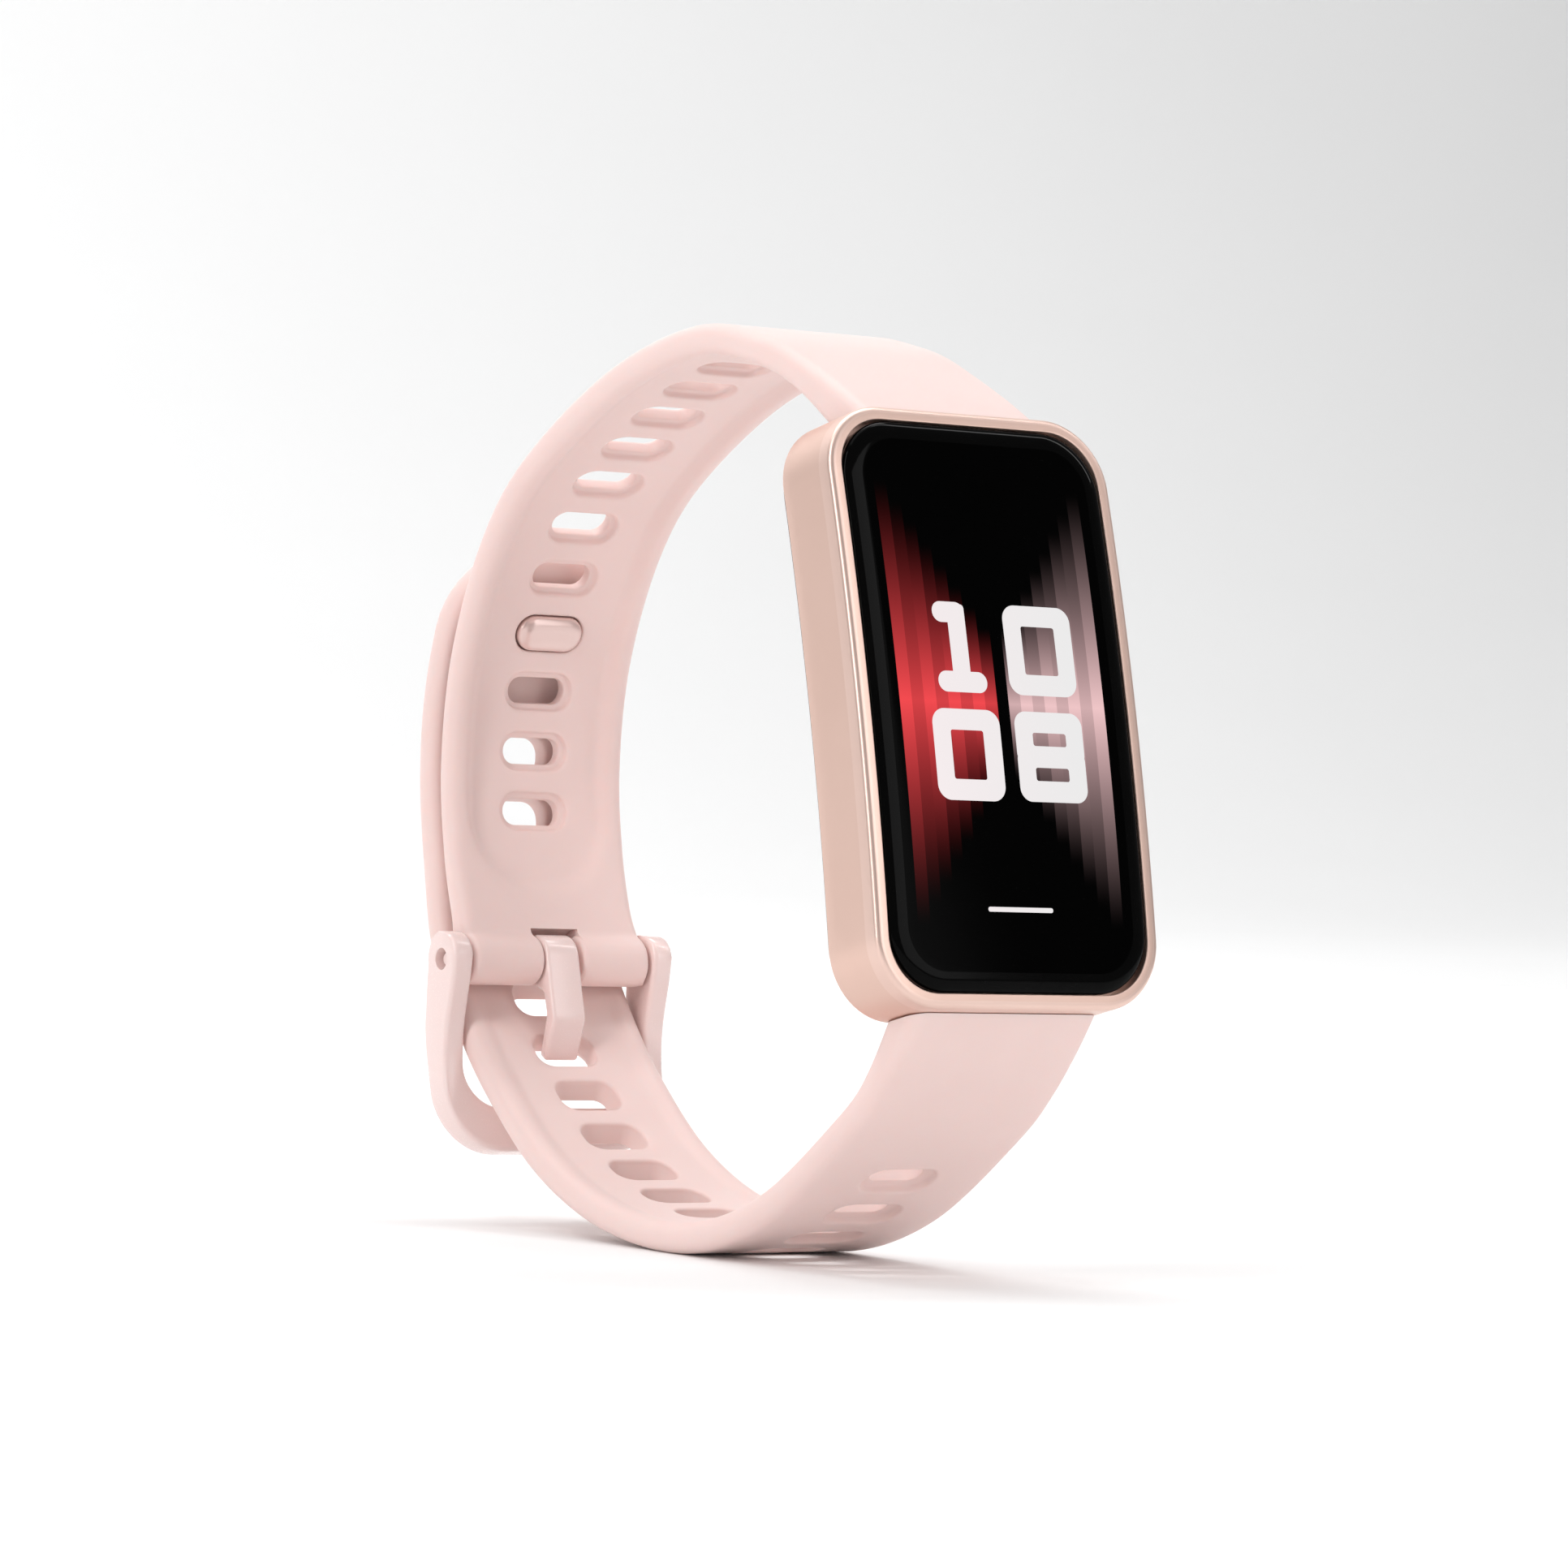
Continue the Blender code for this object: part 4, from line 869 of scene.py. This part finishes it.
# Each hole ring is (half width, half length, corner radius, depth below its face), in millimetres
UPPER_OUTER = [(2.95, 1.45, 1.42, 0.0), (2.72, 1.2, 1.18, 0.03), (2.6, 1.08, 1.06, 0.12),
               (2.55, 1.03, 1.01, 0.3)]
UPPER_INNER = ring_steps(2.55, 1.03, 1.01, [
    (0, 0.66), (0.02, 0.56), (0.09, 0.5), (0.31, 0.47), (0.39, 0.42), (0.45, 0.3), (0.49, 0.14),
    (0.55, 0.05), (0.67, 0.01), (0.83, 0.0)])
STUD_OUTER = [(3.4, 1.85, 1.8, 0.0), (3.18, 1.65, 1.6, 0.04), (3.1, 1.58, 1.56, 0.15)]
STUD_INNER = ring_steps(3.05, 1.53, 1.51, [(0, 0.9), (-0.02, 0.25), (0, 0.1), (0.07, 0.03), (0.2, 0.0)])
WIDE_OUTER = [(3.3, 1.75, 1.6, 0.0), (3.14, 1.6, 1.5, 0.03), (3.07, 1.53, 1.45, 0.12),
              (3.02, 1.5, 1.42, 0.3), (2.9, 1.48, 1.38, 0.42), (2.76, 1.47, 1.34, 0.46),
              (2.7, 1.46, 1.3, 0.6)]
LOWER_OUTER = [*WIDE_OUTER[:3], (3.0, 1.47, 1.4, 0.34), (2.88, 1.35, 1.3, 0.46), (2.3, 1.0, 0.95, 0.56),
               (2.2, 0.92, 0.88, 0.64), (2.22, 0.95, 0.9, 0.8)]
LOWER_INNER = [(2.7, 1.55, 1.3, 0.5), (2.7, 1.6, 1.3, 0.25), (2.74, 1.64, 1.34, 0.1),
               (2.84, 1.74, 1.44, 0.03), (3.0, 1.9, 1.6, 0.0)]


def upper_rings(cell):
    return (STUD_OUTER, STUD_INNER) if cell == STUD_HOLE else (UPPER_OUTER, UPPER_INNER)


def lower_rings(cell):
    wide = cell == TONGUE_HOLE or cell >= FIRST_TAIL_HOLE
    return WIDE_OUTER if wide else LOWER_OUTER, LOWER_INNER


def lower_centres():
    """Even holes, the last few drawn a little towards the tip."""
    span = FIRST_TAIL_HOLE - TONGUE_HOLE
    return [LOWER_FIRST + LOWER_PITCH * k + TAIL_DRIFT * smooth((k - TONGUE_HOLE) / span)
            for k in range(LOWER_HOLES)]


def barrel_rows(high):
    """Rows after the last hole: even ones, then close ones round the hinge barrel."""
    bulge = UPPER_PIN_S - 3.5 * MM
    rows = list(np.linspace(high, bulge, int((bulge - high) / ROW_STEP) + 1))[1:]
    rows += list(np.linspace(bulge, UPPER_PIN_S, 14))[1:]
    return rows + [UPPER_PIN_S + BARREL_R * share
                   for share in sines(8, 17, 26, 35, 44, 53, 62, 70, 77, 83, 87)]


def tip_rows(high):
    """Rows after the last hole: even ones, then close ones towards the rounded tip."""
    end = lower_route.length
    turn, nose = end - TAIL_ROUND, end - TAIL_NOSE
    rows = list(np.linspace(high, turn, int((turn - high) / ROW_STEP) + 1))[1:]
    rows += [turn + (nose - turn) * share for share in sines(*range(10, 91, 10))]
    return rows + [nose + TAIL_NOSE * share for share in sines(15, 30, 45, 58, 70, 80, 86)]


def notch_tool():
    """Turned about the pin: it parts the barrel and rounds the edges that it leaves."""
    half, flare, radius = NOTCH_HALF / MM, NOTCH_FLARE / MM, BARREL_R / MM
    curve = [(radius - flare + flare * math.sin(math.radians(a)),
              half + flare - flare * math.cos(math.radians(a))) for a in range(0, 91, 15)]
    side = [(0, half), (0.6, half)] + curve + [(NOTCH_R / MM, half + flare)]
    profile = side + [(r, -h) for r, h in reversed(side)]
    return lathe(profile, facing_right(NOTCH_X, PIN_Y, PIN_Z), 72)


def build_straps():
    """Both straps and their latches."""
    centres = [UPPER_FIRST + UPPER_PITCH * k for k in range(UPPER_HOLES)]
    bm = build_strap(upper_route, upper_shape, (UPPER_CHANNEL, UPPER_CHANNEL_ENDS), centres,
                     upper_rings, barrel_rows)
    trim_at_case(bm, CASE_H / 2 + 0.05 * MM, 1)
    bm = carve(bm, [notch_tool(), latch_well(upper_route)])
    add_piece("upper_band", bm, [strap_soft], replaced=("upper_strap",), sharp=55)

    bm = build_strap(lower_route, lower_shape, (LOWER_CHANNEL, LOWER_CHANNEL_ENDS),
                     lower_centres(), lower_rings, tip_rows)
    trim_at_case(bm, -CASE_H / 2 - 0.05 * MM, -1)
    bm = carve(bm, [latch_well(lower_route)])
    band = add_piece("lower_band", bm, [strap_soft], body=None,
                     replaced=("lower_strap", "tail_section"), sharp=55)
    split = LOWER_FIRST + TAIL_SPLIT_HOLE * LOWER_PITCH
    for s in (split - 4 * MM, split + 4 * MM):
        point, _, _ = lower_route.at(s)
    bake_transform(band)
    for name, route in (("upper", upper_route), ("lower", lower_route)):
        build_latch(name, route)


def build_stud():
    """A capsule head in the upper strap's hole, on a neck that rises from the tail."""
    low = -STRAP_T / 2 / MM + 0.2
    levels = [(3.8, 1.3, low + 4.4), (3.8, 1.3, low + 1.35), (4.2, 1.7, low + 1.2),
              (5.4, 2.5, low + 1.15), (5.76, 2.8, low + 0.95)]
    for angle in range(0, 85, 7):
        inset = 2.7 * (1 - math.cos(math.radians(angle)))
        levels.append((5.76 - inset, 2.8 - inset, low + 0.55 - 0.59 * math.sin(math.radians(angle))))
    basis = upper_route.basis(UPPER_FIRST + STUD_HOLE * UPPER_PITCH)
    add_piece("stud_capsule", stadium_body(levels, basis), [stud_gloss], "tail",
              ("tail_stud",), sharp=50)


# ---- buckle
FRONT_LINE = Route([(54.25, -6.6), (54.85, -8.2), (55.6, -9.8), (56.35, -11.5), (56.9, -13.3),
                    (57.2, -15.2), (57.25, -18.0), (57.2, -21.6)], 1)
BACK_LINE = Route([(58.55, -6.6), (58.95, -8.0), (59.3, -9.4), (59.75, -11.2), (59.9, -13.0),
                   (59.8, -16.0), (59.65, -19.0), (59.6, -21.6)], 1)


def frame_depths(z):
    """The buckle frame's front and back in side view at a height."""
    rise = z - PIN_Z
    if rise > 0:
        reach = math.sqrt(max(BOSS_R ** 2 - rise ** 2, 0.0))
        return PIN_Y - reach, PIN_Y + reach
    return tuple(float(np.interp(-z, -line.points[:, 1], line.points[:, 0]))
                 for line in (FRONT_LINE, BACK_LINE))


def frame_path():
    """Pairs of outer and inner points in (x, z) down the left arm to the middle of the bar."""
    level = PIN_Z - 3.4 * MM
    heights = [PIN_Z + BOSS_R * rise for rise in sines(86, 82, 76, 69, 61, 52, 42, 32, 21, 10, 0)]
    heights += list(np.linspace(PIN_Z, level, 6))[1:]
    pairs = [((-FRAME_OUT, z), (-FRAME_IN, z)) for z in heights]
    outer_end, inner_end = BAR_LOW + BAR_CORNER, BAR_HIGH + BAR_INNER_CORNER
    for k in range(1, 9):
        pairs.append(((-FRAME_OUT, level + (outer_end - level) * k / 8),
                      (-FRAME_IN, level + (inner_end - level) * k / 8)))
    outer = arc(-FRAME_OUT + BAR_CORNER, outer_end, BAR_CORNER, 180, 270, 16)
    inner = arc(-FRAME_IN + BAR_INNER_CORNER, inner_end, BAR_INNER_CORNER, 180, 270, 16)
    pairs += list(zip(outer, inner))[1:]
    start = -FRAME_OUT + BAR_CORNER
    pairs += [((start * (1 - k / 5), BAR_LOW), (start * (1 - k / 5), BAR_HIGH)) for k in range(1, 6)]
    return pairs


def frame_ring(outer, inner):
    """A rounded section of the frame between an outer and an inner point."""
    outer, inner = np.array(outer), np.array(inner)
    width = float(np.linalg.norm(inner - outer))
    front, back = frame_depths(float(outer[1] + inner[1]) / 2)
    edge = min(FRAME_EDGE, (back - front) * 0.45, width * 0.45)
    depth = back - front
    flat = arc(width - edge, depth - edge, edge, 0, 90, 5) + arc(edge, depth - edge, edge, 90, 180, 5)
    flat += arc(edge, edge, edge, 180, 270, 5) + arc(width - edge, edge, edge, 270, 360, 5)
    ring = []
    for along, deep in flat:
        x, z = outer + (inner - outer) * along / width
        near, far = frame_depths(float(z))
        ring.append((x, near + (far - near) * deep / depth, z))
    return ring


def build_frame():
    """The loop: its left half mirrored, with a well in each arm for the pin's end."""
    left = [frame_ring(*pair) for pair in frame_path()]
    right = [[(-x, y, z) for x, y, z in ring] for ring in reversed(left[:-1])]
    bm = bmesh.new()
    cap_ends(bm, skin(bm, left + right))
    wells = [lathe(recess(0.84, 0.95, -1.0, -0.05, 0.06, 1.0),
                   facing_right(side * FRAME_OUT, PIN_Y, PIN_Z) @ Matrix.Rotation(turn, 4, "X"), 40)
             for side, turn in ((1, 0.0), (-1, math.pi))]
    bm = carve(bm, wells)
    add_piece("frame_loop", bm, [pink_gloss], "buckle_frame", ("buckle_frame",), sharp=40)


def rounded_path(corners):
    """A closed (y, z) outline in millimetres whose corners (y, z, radius) are turned into arcs."""
    points = []
    for k, (y, z, radius) in enumerate(corners):
        here = np.array([y, z])
        before = np.array(corners[k - 1][:2]) - here
        after = np.array(corners[(k + 1) % len(corners)][:2]) - here
        if radius == 0:
            points.append(tuple(here))
            continue
        before, after = before / np.linalg.norm(before), after / np.linalg.norm(after)
        half = math.acos(max(-1.0, min(1.0, float(before @ after)))) / 2
        cut = radius / math.tan(half)
        one, two = here + before * cut, here + after * cut
        middle = here + (before + after) / np.linalg.norm(before + after) * radius / math.sin(half)
        a, b = one - middle, two - middle
        span = math.acos(max(-1.0, min(1.0, float(a @ b) / radius ** 2)))
        for step in range(7):
            f = step / 6
            mix = (math.sin((1 - f) * span) * a + math.sin(f * span) * b) / math.sin(span)
            points.append(tuple(middle + mix))
    return points


def unit(rows):
    return rows / np.linalg.norm(rows, axis=1)[:, None]


def inset_path(points, inset):
    """The outline moved inwards along its own normals."""
    pts = np.array(points)
    after, before = np.roll(pts, -1, axis=0) - pts, pts - np.roll(pts, 1, axis=0)
    tangent = unit(unit(after) + unit(before))
    area = float(np.sum(pts[:, 0] * np.roll(pts[:, 1], -1) - pts[:, 1] * np.roll(pts[:, 0], -1)))
    normal = np.column_stack([-tangent[:, 1], tangent[:, 0]]) * (1 if area > 0 else -1)
    return pts + normal * inset


def build_tongue():
    """The tongue: its side outline, extruded with rounded edges, a hair left of the middle."""
    hub = [(PIN_Y / MM + 2.0 * math.cos(math.radians(a)), PIN_Z / MM + 2.0 * math.sin(math.radians(a)), 0)
           for a in range(-50, 181, 10)]
    blade = [(54.33, -9.6, 0.0), (54.22, -11.5, 1.2), (56.1, -14.65, 0.3), (56.85, -13.98, 0.35),
             (55.4, -11.05, 1.2), (55.55, -9.2, 0.8)]
    path = rounded_path(hub + blade)
    edge, half = TONGUE_EDGE / MM, TONGUE_W / 2 / MM
    rings = []
    for angle in range(0, 91, 15):
        inset = edge * (1 - math.sin(math.radians(angle)))
        x = half - edge + edge * math.cos(math.radians(angle))
        rings.append((x, inset_path(path, inset)))
    rings = rings + [(-x, ring) for x, ring in reversed(rings)]
    bm = bmesh.new()
    cap_ends(bm, skin(bm, [[((x - 0.1) * MM, y * MM, z * MM) for y, z in ring] for x, ring in rings]))
    add_piece("tongue_blade", bm, [pink_gloss], "buckle_tongue", ("buckle_tongue",),
              sharp=45)


def build_pin():
    half, radius, edge = PIN_HALF / MM, PIN_R / MM, 0.14
    profile = [(0, -half), (radius - edge, -half), (radius, -half + edge), (radius, half - edge),
               (radius - edge, half), (0, half)]
    add_piece("pin_rod", lathe(profile, facing_right(0, PIN_Y, PIN_Z), 40), [pink_gloss],
              replaced=("buckle_pin",), sharp=30)


# ---- carried-over CAD nodes
def dress_inner_nodes():
    """Materials for the exact parts that show as they are."""
    looks = {
        seal_soft: ("glass_gasket", "back_seal", "battery_pad", "button_seal"),
        glass_black: ("display_panel",),
        back_black: ("chassis",),
        board_mask: ("sensor_board", "main_board"),
        chip_resin: ("sensor_led", "sensor_photodiode_left", "sensor_photodiode_right"),
        foil: ("battery",),
        film_amber: ("display_flex",),
        steel_satin: ("board_shield", "board_screw_left", "board_screw_right", "vibration_motor",
                      "button_switch", "upper_strap_link", "lower_strap_link"),
    }
    for mat, names in looks.items():
        for name in names:
            mesh = frame["nodes"][name].data
            mesh.materials.clear()
            mesh.materials.append(mat)


# ---- studio
def build_floor():
    """A pale floor that curves up behind the object."""
    half, front, depth, height, bend = 1.6, -2.2, 1.4, 1.6, 0.5
    side = [(front, 0.0), (depth - bend, 0.0)]
    side += arc(depth - bend, bend, bend, -90, 0, 12)[1:] + [(depth, height)]
    bm = bmesh.new()
    rows = [[bm.verts.new((x, y, z)) for x in (-half, half)] for y, z in side]
    for one, two in zip(rows, rows[1:]):
        bm.faces.new((one[0], one[1], two[1], two[0]))
    mesh = mesh_of("floor", bm)
    mesh.materials.append(surface("floor_paper", (0.90, 0.90, 0.90), (0.92, 0.92, 0.92), (0.75, 0.85),
                                  mottle=3.0, grain=700.0, grain_depth=0.02))
    mesh.shade_smooth()
    put_in_scene("floor", mesh)


def add_light(name, place, aim, size, power):
    """A white area light of a size in metres and a power in watts."""
    light = bpy.data.lights.new(name, "AREA")
    light.shape = "RECTANGLE"
    light.size, light.size_y = size
    light.energy = power
    obj = put_in_scene(name, light)
    obj.location = place
    obj.rotation_euler = (Vector(aim) - Vector(place)).to_track_quat("-Z", "Y").to_euler()


def build_lights():
    bpy.context.scene.view_settings.view_transform = "Standard"
    world = bpy.data.worlds.new("studio")
    bpy.context.scene.world = world
    world.use_nodes = True
    fill(world.node_tree.nodes["Background"], {"Color": (1.0, 1.0, 1.0, 1), "Strength": 0.26})
    middle = (0.0, 0.0, 0.034)            # the object's centre
    add_light("left", (-0.58, -0.16, 0.42), middle, (0.10, 0.80), 2.5)
    add_light("top", (0.04, 0.02, 0.66), middle, (0.30, 0.50), 0.7)
    add_light("front", (0.26, -0.64, 0.28), middle, (0.34, 0.50), 1.15)
    add_light("corner", (0.40, -0.14, 0.52), middle, (0.05, 0.50), 0.6)
    add_light("rim", (0.50, 0.49, 0.20), middle, (0.55, 0.40), 0.6)
    add_light("backdrop", (0.0, 0.50, 1.50), (0.30, 1.40, 0.45), (1.80, 0.50), 22.0)


def build_camera():
    """The camera of the picture, level with the middle of the case and to its left."""
    place = Vector((-252.106, -333.995, -85.240)) * MM
    forward = Vector((0.56627, 0.80157, 0.19192)).normalized()
    upward = Vector((-0.03122, -0.21183, 0.97681))
    right = forward.cross(upward).normalized()
    upward = right.cross(forward)
    turn = Matrix((right, upward, -forward)).transposed().to_4x4()
    camera = bpy.data.cameras.new("camera")
    camera.sensor_width = 36.0
    camera.lens = 138.97
    camera.clip_start, camera.clip_end = 0.01, 10.0
    obj = put_in_scene("camera", camera)
    obj.matrix_world = CASE @ Matrix.Translation(place) @ turn
    bpy.context.scene.camera = obj


build_case()
build_button()
build_glass()
build_digits()
build_back()
build_sensor()
build_straps()
build_stud()
build_frame()
build_tongue()
build_pin()
dress_inner_nodes()
build_floor()
build_lights()
build_camera()
